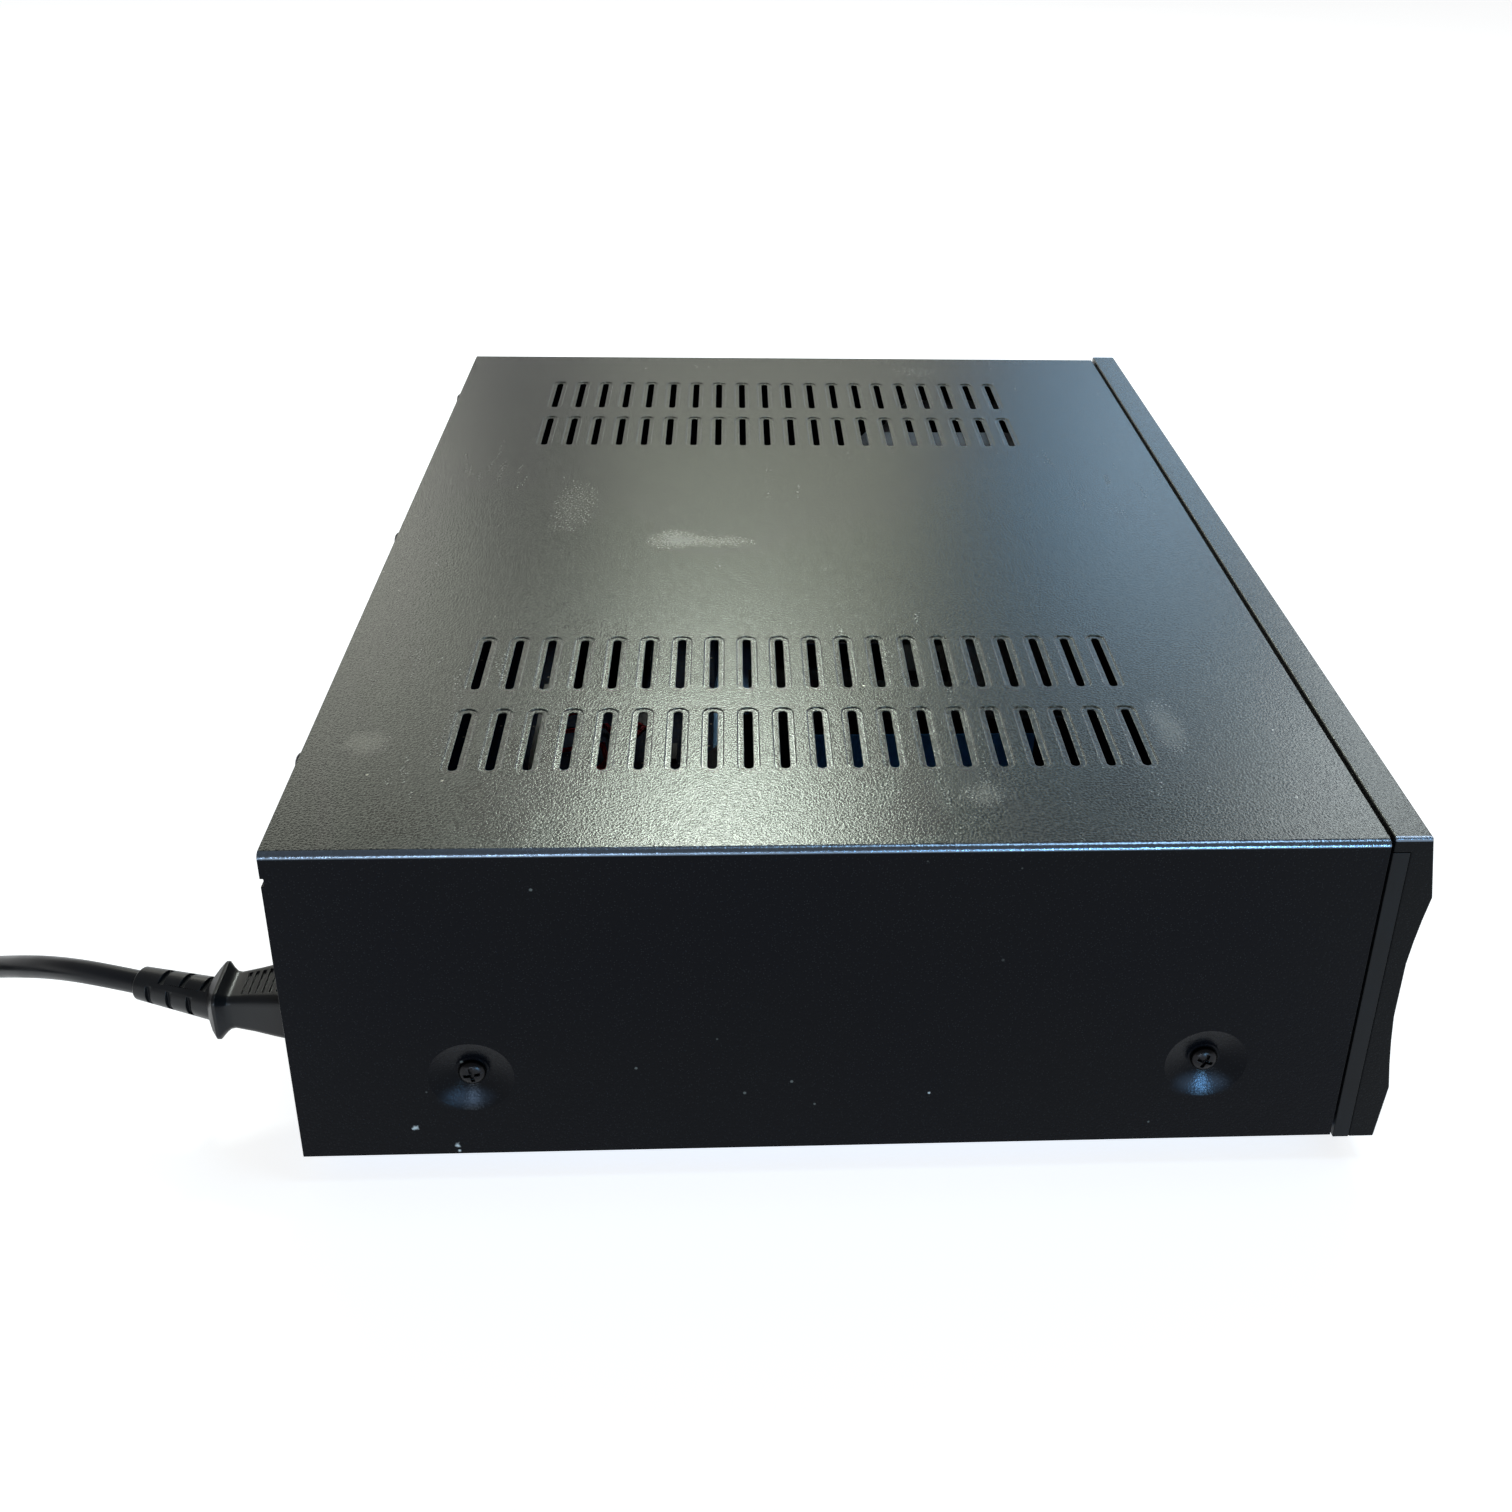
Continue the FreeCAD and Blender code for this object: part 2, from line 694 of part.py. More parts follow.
def panel_face(set_in, back):
    """The front panel's end profile, set in from its front by a wall's thickness."""
    low = PANEL_BOTTOM + (set_in and PANEL_LIP)
    top = PANEL_TOP - (set_in and PANEL_LIP)
    slope_top = (PANEL_UPPER_REACH - PANEL_TOP_REACH) / (PANEL_TOP - PANEL_UPPER_HEIGHT)
    slope_low = (PANEL_LOWER_REACH - PANEL_BOTTOM_REACH) / (PANEL_LOWER_HEIGHT - PANEL_BOTTOM)
    top_reach = PANEL_TOP_REACH + slope_top * (PANEL_TOP - top)
    low_reach = PANEL_BOTTOM_REACH + slope_low * (low - PANEL_BOTTOM)

    def at(reach, z):
        return Vector(-HALF, set_in - reach, z)

    def middle(reach_a, z_a, reach_b, z_b):
        return at((reach_a + reach_b) / 2 - PANEL_SWEEP, (z_a + z_b) / 2)

    upper = at(PANEL_UPPER_REACH, PANEL_UPPER_HEIGHT)
    band_top = at(PANEL_BAND_REACH, PANEL_BAND_TOP)
    band_low = at(PANEL_BAND_REACH, PANEL_BAND_BOTTOM)
    lower = at(PANEL_LOWER_REACH, PANEL_LOWER_HEIGHT)
    up_mid = middle(PANEL_UPPER_REACH, PANEL_UPPER_HEIGHT, PANEL_BAND_REACH, PANEL_BAND_TOP)
    low_mid = middle(PANEL_BAND_REACH, PANEL_BAND_BOTTOM, PANEL_LOWER_REACH, PANEL_LOWER_HEIGHT)
    first, last = at(top_reach, top), at(low_reach, low)
    rear_top = Vector(-HALF, back, top)
    rear_low = Vector(-HALF, back, low)
    edges = [
        Part.makeLine(rear_top, first),
        Part.makeLine(first, upper),
        Part.Arc(upper, up_mid, band_top).toShape(),
        Part.makeLine(band_top, band_low),
        Part.Arc(band_low, low_mid, lower).toShape(),
        Part.makeLine(lower, last),
        Part.makeLine(last, rear_low),
        Part.makeLine(rear_low, rear_top),
    ]
    return Part.Face(Part.Wire(edges))


def front_fascia():
    """Front panel: a long hollow section with closed ends and a top that reaches the seam."""
    body = panel_face(0, -PANEL_BACK).extrude(Vector(WIDTH, 0, 0))
    hollow = panel_face(PANEL_WALL, -PANEL_BACK).extrude(Vector(WIDTH - 2 * PANEL_END, 0, 0))
    hollow.translate(Vector(PANEL_END, 0, 0))
    lip = block((-HALF, HALF), (-PANEL_BACK, PANEL_REAR), (PANEL_TOP - PANEL_LIP, PANEL_TOP))
    through = (-PANEL_LOWER_REACH - 1, 1 - PANEL_BACK)
    depth = through[1] - through[0]
    cuts = [
        hollow,
        block(
            (-TRAY_MOUTH_HALF, TRAY_MOUTH_HALF), through, (TRAY_MOUTH_BOTTOM, TRAY_MOUTH_TOP)
        ),
        block((WINDOW_LEFT, WINDOW_RIGHT), through, (WINDOW_BOTTOM, WINDOW_TOP)),
        block(
            (
                OPEN_BUTTON[0] - OPEN_BUTTON[1] - BUTTON_GAP,
                OPEN_BUTTON[0] + OPEN_BUTTON[1] + BUTTON_GAP,
            ),
            through,
            (
                BUTTON_HEIGHT - OPEN_BUTTON[2] - BUTTON_GAP,
                BUTTON_HEIGHT + OPEN_BUTTON[2] + BUTTON_GAP,
            ),
        ),
    ]
    for x, radius in (POWER_BUTTON, PLAY_BUTTON, STOP_BUTTON):
        start = (x, through[0], BUTTON_HEIGHT)
        cuts.append(rod(radius + BUTTON_GAP, start, (0, 1, 0), depth, TURNED_SIDES))
    return without(body.fuse(lip).removeSplitter(), cuts)


def button_centres():
    """Middle of every front button."""
    return [b[0] for b in (POWER_BUTTON, PLAY_BUTTON, STOP_BUTTON, OPEN_BUTTON)]


def board_bosses():
    """Places of the bosses that hold the front board."""
    high = FRONT_BOARD_TOP - 3
    low = FRONT_BOARD_BOTTOM + 4
    edge = FRONT_BOARD_HALF - 4
    left = -FRONT_BOARD_HALF + 8
    return [(edge, high), (edge, low), (WINDOW_LEFT - 17, high), (left, low), (left, BUTTON_HEIGHT + 8)]


def front_frame():
    """Moulded frame behind the front panel, with a rim, openings and board bosses."""
    top = PANEL_TOP - PANEL_LIP
    outer = (-HALF, HALF)
    rear = PANEL_REAR
    body = block(outer, (-PANEL_BACK, rear), (PANEL_BOTTOM, top))
    rim = FRAME_RIM
    pocket = block(
        (rim - HALF, HALF - rim), (-PANEL_BACK, rear - FRAME_PLATE), (PANEL_BOTTOM + rim, top - rim)
    )
    through = (-PANEL_BACK - 1, rear + 1)
    margin = 1.0
    cuts = [
        pocket,
        block(
            (-TRAY_MOUTH_HALF - margin, TRAY_MOUTH_HALF + margin),
            through,
            (TRAY_MOUTH_BOTTOM - margin, TRAY_MOUTH_TOP + margin),
        ),
        block(
            (WINDOW_LEFT - 2 * margin, WINDOW_RIGHT + 2 * margin),
            through,
            (WINDOW_BOTTOM - 2 * margin, WINDOW_TOP + 2 * margin),
        ),
    ]
    half = SWITCH_SIZE / 2 + margin
    for x in button_centres():
        cuts.append(block((x - half, x + half), through, (BUTTON_HEIGHT - half, BUTTON_HEIGHT + half)))
    body = without(body, cuts)
    bosses = [
        block((x - 3, x + 3), (rear, FRONT_BOARD_Y), (z - 3, z + 3)) for x, z in board_bosses()
    ]
    return joined([body] + bosses)


def display_window():
    """Clear insert in the panel, held by a flange behind the skin."""
    skin = -PANEL_BAND_REACH + PANEL_WALL
    gap = BUTTON_GAP
    front = block(
        (WINDOW_LEFT + gap, WINDOW_RIGHT - gap),
        (-PANEL_BAND_REACH, skin),
        (WINDOW_BOTTOM + gap, WINDOW_TOP - gap),
    )
    edge = WINDOW_FLANGE
    flange = block(
        (WINDOW_LEFT - edge, WINDOW_RIGHT + edge),
        (skin, skin + 1.0),
        (WINDOW_BOTTOM - edge, WINDOW_TOP + edge),
    )
    return front.fuse(flange).removeSplitter()


def display_module():
    """Glass display block on the front board, right behind the window."""
    front = -PANEL_BAND_REACH + PANEL_WALL + 1.0 + RUN_GAP
    return block((WINDOW_LEFT, WINDOW_RIGHT), (front, FRONT_BOARD_Y), (WINDOW_BOTTOM, WINDOW_TOP))


def front_board():
    """Circuit board behind the front wall: a long strip with a high part at each end."""
    y = FRONT_BOARD_Y
    left = -FRONT_BOARD_HALF + 4
    points = [
        (left, y, FRONT_BOARD_BOTTOM),
        (FRONT_BOARD_HALF, y, FRONT_BOARD_BOTTOM),
        (FRONT_BOARD_HALF, y, FRONT_BOARD_TOP),
        (TRAY_MOUTH_HALF + 7, y, FRONT_BOARD_TOP),
        (TRAY_MOUTH_HALF + 7, y, FRONT_BOARD_STRIP_TOP),
        (POWER_BUTTON[0] + 16, y, FRONT_BOARD_STRIP_TOP),
        (POWER_BUTTON[0] + 16, y, BUTTON_HEIGHT + 11),
        (left, y, BUTTON_HEIGHT + 11),
    ]
    return plate(points, (0, BOARD_THICK, 0))


def stem_end():
    """Where a button's stem stops at rest."""
    return FRONT_BOARD_Y - SWITCH_SIZE / 2 - SWITCH_GAP


def tact_switches():
    """Small push switches on the front board, one behind each button."""
    half = SWITCH_SIZE / 2
    return [
        block(
            (x - half, x + half),
            (FRONT_BOARD_Y - half, FRONT_BOARD_Y),
            (BUTTON_HEIGHT - half, BUTTON_HEIGHT + half),
        )
        for x in button_centres()
    ]


def round_button(place):
    """Round cap with a flange behind the skin and a stem to its switch."""
    x, radius = place
    front = -PANEL_BAND_REACH - BUTTON_PROUD
    skin = -PANEL_BAND_REACH + PANEL_WALL
    flange = skin + RUN_GAP
    cap = rod(radius, (x, front, BUTTON_HEIGHT), (0, 1, 0), flange - front, TURNED_SIDES)
    collar = rod(
        radius + 1, (x, flange, BUTTON_HEIGHT), (0, 1, 0), BUTTON_FLANGE, TURNED_SIDES
    )
    length = stem_end() - flange
    stem = block(
        (x - BUTTON_STEM, x + BUTTON_STEM),
        (flange, flange + length),
        (BUTTON_HEIGHT - BUTTON_STEM, BUTTON_HEIGHT + BUTTON_STEM),
    )
    return joined([cap, collar, stem])


def open_button():
    """Oblong cap beside the tray, built like the round ones."""
    x, half, tall = OPEN_BUTTON
    front = -PANEL_BAND_REACH - BUTTON_PROUD
    skin = -PANEL_BAND_REACH + PANEL_WALL
    flange = skin + RUN_GAP
    cap = block(
        (x - half, x + half), (front, flange), (BUTTON_HEIGHT - tall, BUTTON_HEIGHT + tall)
    )
    collar = block(
        (x - half - 1, x + half + 1),
        (flange, flange + BUTTON_FLANGE),
        (BUTTON_HEIGHT - tall - 1, BUTTON_HEIGHT + tall + 1),
    )
    stem = block(
        (x - BUTTON_STEM, x + BUTTON_STEM),
        (flange, stem_end()),
        (BUTTON_HEIGHT - BUTTON_STEM, BUTTON_HEIGHT + BUTTON_STEM),
    )
    return joined([cap, collar, stem])


def foot(x, y):
    """Moulded foot with a rubber pad let into its underside."""
    pad_top = FOOT_PAD_THICK
    cup = turned(
        [
            (0, pad_top),
            (FOOT_PAD_RADIUS, pad_top),
            (FOOT_PAD_RADIUS, FOOT_PAD_PROUD),
            (FOOT_NECK_RADIUS, FOOT_PAD_PROUD),
            (FOOT_RADIUS, UNDERSIDE),
            (0, UNDERSIDE),
        ],
        (x, y),
    )
    pad = rod(FOOT_PAD_RADIUS, (x, y, 0), (0, 0, 1), pad_top, TURNED_SIDES)
    return cup, pad


def pan_head(start, direction):
    """A screw: low round head on its seat, shank the other way."""
    into = tuple(-c for c in direction)
    head = rod(SCREW_HEAD_RADIUS, start, direction, SCREW_HEAD_HEIGHT, SMALL_SIDES)
    shank = rod(SCREW_RADIUS, start, into, SCREW_LENGTH, 6)
    return head.fuse(shank).removeSplitter()


def cover_screws():
    """Four screws in the side dishes and three through the rear lip."""
    screws = []
    for side in (-1, 1):
        for y in DISH_PLACES:
            start = (side * (HALF - DISH_DEPTH), y, DISH_HEIGHT)
            screws.append(pan_head(start, (side, 0, 0)))
    for x in REAR_SCREWS:
        start = (x, COVER_DEPTH, COVER_TOP - REAR_SCREW_DROP)
        screws.append(pan_head(start, (0, 1, 0)))
    return screws


# Tray loader


def bracket():
    """Right-hand sheet bracket with a foot, a shelf for the ears and a raised middle."""
    x = BRACKET_X
    sheet = CHASSIS_SHEET
    points = [
        (x, BRACKET_FRONT, FLOOR_TOP),
        (x, BRACKET_REAR, FLOOR_TOP),
        (x, BRACKET_REAR, BRACKET_STEP),
        (x, BRACKET_TOP_REAR, BRACKET_STEP),
        (x, BRACKET_TOP_REAR, BRACKET_TOP),
        (x, BRACKET_TOP_FRONT, BRACKET_TOP),
        (x, BRACKET_TOP_FRONT, BRACKET_STEP),
        (x, BRACKET_FRONT, BRACKET_STEP),
    ]
    wall = plate(points, (sheet, 0, 0))
    long = (BRACKET_FRONT, BRACKET_REAR)
    shelf = block((LOADER_WALL_OUTER + 1, x), long, (LOADER_BOTTOM - sheet, LOADER_BOTTOM))
    foot_plate = block((x, x + BRACKET_FOOT), long, (FLOOR_TOP, FLOOR_TOP + sheet))
    return joined([wall, shelf, foot_plate])


def loader_frame():
    """Moulded frame: side walls, runners for the tray, gear deck, slider guide and hinge ears."""
    long = (LOADER_FRONT, LOADER_REAR)
    wall = (LOADER_WALL_INNER, LOADER_WALL_OUTER)
    inner = LOADER_WALL_INNER
    ledge_top = TRAY_BOTTOM - RUN_GAP
    tab_bottom = TRAY_BOTTOM + TRAY_RUNNER_THICK + RUN_GAP
    half = [
        block(wall, long, (LOADER_BOTTOM, LOADER_TOP)),
        block((LEDGE_INNER, inner), long, (ledge_top - LEDGE_THICK, ledge_top)),
        block((HINGE_PIN_X, inner), (TRAVERSE_FRONT, LOADER_REAR), (DECK_BOTTOM, DECK_TOP)),
    ]
    for y in TAB_PLACES:
        half.append(
            block(
                (TRAY_HALF + RUN_GAP, inner), (y, y + TAB_LENGTH), (tab_bottom, tab_bottom + TAB_THICK)
            )
        )
    for front, rear in EAR_PLACES:
        half.append(
            block(
                (LOADER_WALL_OUTER, BRACKET_X - EASY_GAP), (front, rear), (LOADER_BOTTOM, DECK_TOP)
            )
        )
    ear = block(
        (TRAVERSE_HALF + EASY_GAP, HINGE_PIN_X + 2 * HINGE_PIN_RADIUS),
        (HINGE_Y - 2 * HINGE_PIN_RADIUS, HINGE_Y + 2 * HINGE_PIN_RADIUS),
        (HINGE_Z - 2 * HINGE_PIN_RADIUS, HINGE_Z + 2 * HINGE_PIN_RADIUS),
    )
    half.append(ear)
    pieces = half + [mirrored(p) for p in half]
    across = (-inner, inner)
    pieces.append(block(across, (LOADER_FRONT, DECK_REAR), (DECK_BOTTOM, DECK_TOP)))
    rear_wall = (TRAY_REAR + 2, LOADER_REAR)
    pieces.append(block(across, rear_wall, (LOADER_BOTTOM, ledge_top - LEDGE_THICK)))
    shelf_top = SLIDER_BOTTOM - RUN_GAP
    guide_half = SLIDER_HALF + SLIDER_TRAVEL + 4
    guide_wall = (DECK_REAR - 2, DECK_REAR)
    guide = (-guide_half, guide_half)
    pieces.append(block(guide, guide_wall, (shelf_top - 2, DECK_TOP)))
    shelf = (DECK_REAR - 2, SLIDER_FRONT + SLIDER_THICK + 1)
    pieces.append(block(guide, shelf, (shelf_top - 2, shelf_top)))
    for x, y, top, shoulder in gear_posts():
        foot_height = shoulder - DECK_TOP
        pieces.append(
            rod(GEAR_PIN_RADIUS + 2, (x, y, DECK_TOP), (0, 0, 1), foot_height, SMALL_SIDES)
        )
        pieces.append(rod(GEAR_PIN_RADIUS, (x, y, DECK_TOP), (0, 0, 1), top - DECK_TOP))
    frame = joined(pieces)
    bore = HINGE_PIN_RADIUS + PIN_CLEARANCE
    pin_from = (-HINGE_PIN_X - 10, HINGE_Y, HINGE_Z)
    cuts = [
        rod(bore, pin_from, (1, 0, 0), 2 * HINGE_PIN_X + 20),
        rod(
            MOTOR_SHAFT_RADIUS + 2, (MOTOR_X, MOTOR_Y, DECK_BOTTOM - 1), (0, 0, 1), 6, SMALL_SIDES
        ),
    ]
    return without(frame, cuts)


HINGE_PIN_X = TRAVERSE_HALF + 4.0
PINION_PITCH = RACK_MODULE * TRAY_PINION_TEETH / 2
TRAY_GEAR_X = RACK_PITCH_X + PINION_PITCH
WHEEL_PITCH = WHEEL_MODULE * WHEEL_TEETH / 2
SMALL_PITCH = WHEEL_MODULE * PINION_TEETH / 2
MESH_ANGLE = -math.asin(PINION_SET_BACK / (WHEEL_PITCH + SMALL_PITCH))
PULLEY_X = TRAY_GEAR_X + (WHEEL_PITCH + SMALL_PITCH) * math.cos(MESH_ANGLE)
PULLEY_Y = TRAY_GEAR_Y - PINION_SET_BACK
PINION_TOP = TRAY_BOTTOM - 2 * RUN_GAP
PULLEY_GEAR_TOP = WHEEL_BOTTOM + WHEEL_THICK


def gear_posts():
    """Posts on the deck: x, y, top of the pin and height of its shoulder."""
    return [
        (TRAY_GEAR_X, TRAY_GEAR_Y, PINION_TOP - 0.4, WHEEL_BOTTOM - RUN_GAP),
        (PULLEY_X, PULLEY_Y, PULLEY_GEAR_TOP + 0.5, PULLEY_BOTTOM - RUN_GAP),
    ]


def toothed_wheel(teeth, module, centre, bottom, height, first_tooth):
    """Spur gear with straight-flanked teeth; first_tooth is the angle of one tooth's middle."""
    pitch = module * teeth / 2
    half = (math.pi * module / 2 - TOOTH_BACKLASH / 2) / 2
    slope = math.tan(math.radians(20))
    levels = [(pitch - 1.2 * module, -1), (pitch + 0.9 * module, -1)]
    points = []
    for i in range(teeth):
        middle = first_tooth + 2 * math.pi * i / teeth
        flank = []
        for radius, side in levels:
            width = half - (radius - pitch) * slope
            flank.append((radius, side * width / radius))
        for radius, turn in flank + [(r, -t) for r, t in reversed(flank)]:
            x = centre[0] + radius * math.cos(middle + turn)
            y = centre[1] + radius * math.sin(middle + turn)
            points.append((x, y, bottom))
    return plate(points, (0, 0, height))


def tray_rack():
    """Toothed rail under the tray's left edge, teeth towards the middle."""
    pitch = math.pi * RACK_MODULE
    half = (math.pi * RACK_MODULE / 2 - TOOTH_BACKLASH / 2) / 2
    slope = math.tan(math.radians(20))
    tip_x = RACK_PITCH_X + 0.9 * RACK_MODULE
    root_x = RACK_PITCH_X - 1.2 * RACK_MODULE
    tip = half - 0.9 * RACK_MODULE * slope
    root = half + 1.2 * RACK_MODULE * slope
    bottom = TRAY_BOTTOM - RACK_THICK
    count = int((TRAY_TRAVEL + 3 * pitch) / pitch)
    first = TRAY_GEAR_Y - 1.5 * pitch
    points = [(root_x - RACK_BODY, first - pitch / 2, bottom)]
    last = first + (count - 1) * pitch
    points.append((root_x, first - pitch / 2, bottom))
    for i in range(count):
        y = first + i * pitch
        points += [
            (root_x, y - root, bottom),
            (tip_x, y - tip, bottom),
            (tip_x, y + tip, bottom),
            (root_x, y + root, bottom),
        ]
    points.append((root_x, last + pitch / 2, bottom))
    points.append((root_x - RACK_BODY, last + pitch / 2, bottom))
    return plate(points, (0, 0, RACK_THICK))


def disc_tray():
    """Tray with a disc well, a pickup slot open to the rear, side runners and its rack."""
    front = -PANEL_BAND_REACH + DOOR_THICK
    long = (front, TRAY_REAR)
    body = block((-TRAY_HALF, TRAY_HALF), long, (TRAY_BOTTOM, TRAY_BOTTOM + TRAY_RIM))
    runner = block(
        (-TRAY_RUNNER_HALF, TRAY_RUNNER_HALF),
        (LOADER_FRONT + 2, TRAY_REAR),
        (TRAY_BOTTOM, TRAY_BOTTOM + TRAY_RUNNER_THICK),
    )
    tray = body.fuse(runner).removeSplitter()
    floor = TRAY_BOTTOM + TRAY_FLOOR
    centre = (0, SPINDLE_Y, floor)
    slot = PICKUP_SLOT_HALF
    cuts = [
        rod(DISC_WELL_RADIUS, centre, (0, 0, 1), TRAY_RIM, LARGE_SIDES),
        rod(
            SMALL_DISC_RADIUS,
            (0, SPINDLE_Y, floor - TRAY_FLOOR / 2),
            (0, 0, 1),
            TRAY_RIM,
            LARGE_SIDES,
        ),
        rod(slot, (0, SPINDLE_Y, TRAY_BOTTOM - 1), (0, 0, 1), TRAY_RIM + 2, TURNED_SIDES),
        block(
            (-slot, slot), (SPINDLE_Y, TRAY_REAR + 1), (TRAY_BOTTOM - 1, TRAY_BOTTOM + TRAY_RIM + 1)
        ),
    ]
    return without(tray, cuts).fuse(tray_rack()).removeSplitter()


def tray_door():
    """Front of the tray, level with the panel's flat band."""
    half = TRAY_MOUTH_HALF - DOOR_GAP
    front = -PANEL_BAND_REACH
    door = block(
        (-half, half),
        (front, front + DOOR_THICK),
        (TRAY_MOUTH_BOTTOM + DOOR_GAP, TRAY_MOUTH_TOP - DOOR_GAP),
    )
    edges = [e for e in door.Edges if abs(e.BoundBox.YMax - front) < 0.01]
    return door.makeChamfer(0.6, edges)


def tray_gear():
    """Pinion for the rack above a larger wheel, on one hub."""
    centre = (TRAY_GEAR_X, TRAY_GEAR_Y)
    wheel = toothed_wheel(
        WHEEL_TEETH, WHEEL_MODULE, centre, WHEEL_BOTTOM, WHEEL_THICK, MESH_ANGLE
    )
    low = WHEEL_BOTTOM + WHEEL_THICK
    rack_low = TRAY_BOTTOM - RACK_THICK
    hub = rod(
        PINION_PITCH - 4, (centre[0], centre[1], low), (0, 0, 1), rack_low - low, TURNED_SIDES
    )
    pinion = toothed_wheel(
        TRAY_PINION_TEETH, RACK_MODULE, centre, rack_low, PINION_TOP - rack_low, math.pi
    )
    gear = joined([wheel, hub, pinion])
    bore = rod(
        GEAR_PIN_RADIUS + PIN_CLEARANCE,
        (centre[0], centre[1], WHEEL_BOTTOM - 1),
        (0, 0, 1),
        PINION_TOP,
    )
    return gear.cut(bore)


def pulley_gear():
    """Grooved pulley under a small pinion that drives the tray gear's wheel."""
    centre = (PULLEY_X, PULLEY_Y)
    towards_wheel = MESH_ANGLE + math.pi
    pinion = toothed_wheel(
        PINION_TEETH,
        WHEEL_MODULE,
        centre,
        PULLEY_BOTTOM + PULLEY_THICK,
        PULLEY_GEAR_TOP - PULLEY_BOTTOM - PULLEY_THICK,
        towards_wheel + math.pi / PINION_TEETH,
    )
    pulley = grooved_pulley(centre, PULLEY_RADIUS)
    bore = rod(
        GEAR_PIN_RADIUS + PIN_CLEARANCE,
        (centre[0], centre[1], PULLEY_BOTTOM - 1),
        (0, 0, 1),
        PULLEY_THICK + WHEEL_THICK + 4,
    )
    return pinion.fuse(pulley).removeSplitter().cut(bore)


def grooved_pulley(centre, radius):
    """Pulley whose rims stand half a millimetre over the belt's groove."""
    low = PULLEY_BOTTOM
    high = PULLEY_BOTTOM + PULLEY_THICK
    groove = BELT_THICK / 2 + RUN_GAP
    middle = (low + high) / 2
    rim = radius + BELT_THICK / 2
    return turned(
        [
            (0, low),
            (rim, low),
            (radius, middle - groove),
            (radius, middle + groove),
            (rim, high),
            (0, high),
        ],
        centre,
    )


def motor_pulley():
    """Small pulley on the loading motor's shaft."""
    centre = (MOTOR_X, MOTOR_Y)
    bore = rod(
        MOTOR_SHAFT_RADIUS + PIN_CLEARANCE, (MOTOR_X, MOTOR_Y, PULLEY_BOTTOM - 1), (0, 0, 1), 8
    )
    return grooved_pulley(centre, MOTOR_PULLEY_RADIUS).cut(bore)


def belt_loop(offset, bottom, height):
    """Loop round both pulleys at a distance from their grooves, in short flats."""
    big = PULLEY_RADIUS + offset
    small = MOTOR_PULLEY_RADIUS + offset
    dx, dy = MOTOR_X - PULLEY_X, MOTOR_Y - PULLEY_Y
    line = math.atan2(dy, dx)
    spread = math.acos((big - small) / math.hypot(dx, dy))
    wraps = (
        (PULLEY_X, PULLEY_Y, big, line + spread, 2 * (math.pi - spread), TURNED_SIDES // 2),
        (MOTOR_X, MOTOR_Y, small, line - spread, 2 * spread, SMALL_SIDES // 2),
    )
    points = []
    for x, y, radius, first, sweep, count in wraps:
        corner = radius / math.cos(sweep / count / 2)
        for i in range(count):
            angle = first + sweep * (i + 0.5) / count
            points.append((x + corner * math.cos(angle), y + corner * math.sin(angle), bottom))
    return plate(points, (0, 0, height))


def drive_belt():
    """Square rubber belt from the motor to the pulley gear."""
    middle = PULLEY_BOTTOM + PULLEY_THICK / 2
    bottom = middle - BELT_THICK / 2
    inner = belt_loop(BELT_CLEARANCE, bottom, BELT_THICK)
    return belt_loop(BELT_CLEARANCE + BELT_THICK, bottom, BELT_THICK).cut(inner)


def loading_motor():
    """Round motor under the deck with its shaft standing through."""
    start = (MOTOR_X, MOTOR_Y, DECK_BOTTOM - MOTOR_LENGTH)
    body = rod(MOTOR_RADIUS, start, (0, 0, 1), MOTOR_LENGTH, TURNED_SIDES)
    shaft_top = PULLEY_BOTTOM + PULLEY_THICK
    shaft = rod(
        MOTOR_SHAFT_RADIUS, (MOTOR_X, MOTOR_Y, DECK_BOTTOM - 1), (0, 0, 1), shaft_top - DECK_BOTTOM + 1
    )
    return body.fuse(shaft).removeSplitter()


def cam_drop():
    """How far the traverse's front pins come down over the slider's travel."""
    arm = HINGE_Y - SLIDER_FRONT - SLIDER_THICK / 2
    return arm * math.sin(math.radians(TILT_DEGREES))


def cam_slider():
    """Upright plate with two sloped slots that carry the traverse's front pins."""
    depth = (SLIDER_FRONT, SLIDER_FRONT + SLIDER_THICK)
    body = block((-SLIDER_HALF, SLIDER_HALF), depth, (SLIDER_BOTTOM, SLIDER_TOP))
    radius = CAM_PIN_RADIUS + CAM_GAP
    drop = cam_drop()
    slope = math.atan2(drop, SLIDER_TRAVEL)
    across = Vector(-math.sin(slope), 0, math.cos(slope)) * radius
    along = Vector(math.cos(slope), 0, math.sin(slope)) * radius
    cuts = []
    for x in (-CAM_PIN_X, CAM_PIN_X):
        high = Vector(x, SLIDER_FRONT - 1, HINGE_Z)
        low = high - Vector(SLIDER_TRAVEL, 0, drop)
        corners = [low - across, high - across, high + across, low + across]
        straight = Part.Face(Part.makePolygon(corners + corners[:1]))
        cuts.append(straight.extrude(Vector(0, SLIDER_THICK + 2, 0)))
        for end, way in ((high, 1), (low, -1)):
            tip = end + along * way
            arc = Part.Arc(end - across, tip, end + across).toShape()
            cap = Part.Face(Part.Wire([arc, Part.makeLine(end + across, end - across)]))
            cuts.append(cap.extrude(Vector(0, SLIDER_THICK + 2, 0)))
    for cut in cuts:
        body = body.cut(cut)
    return body


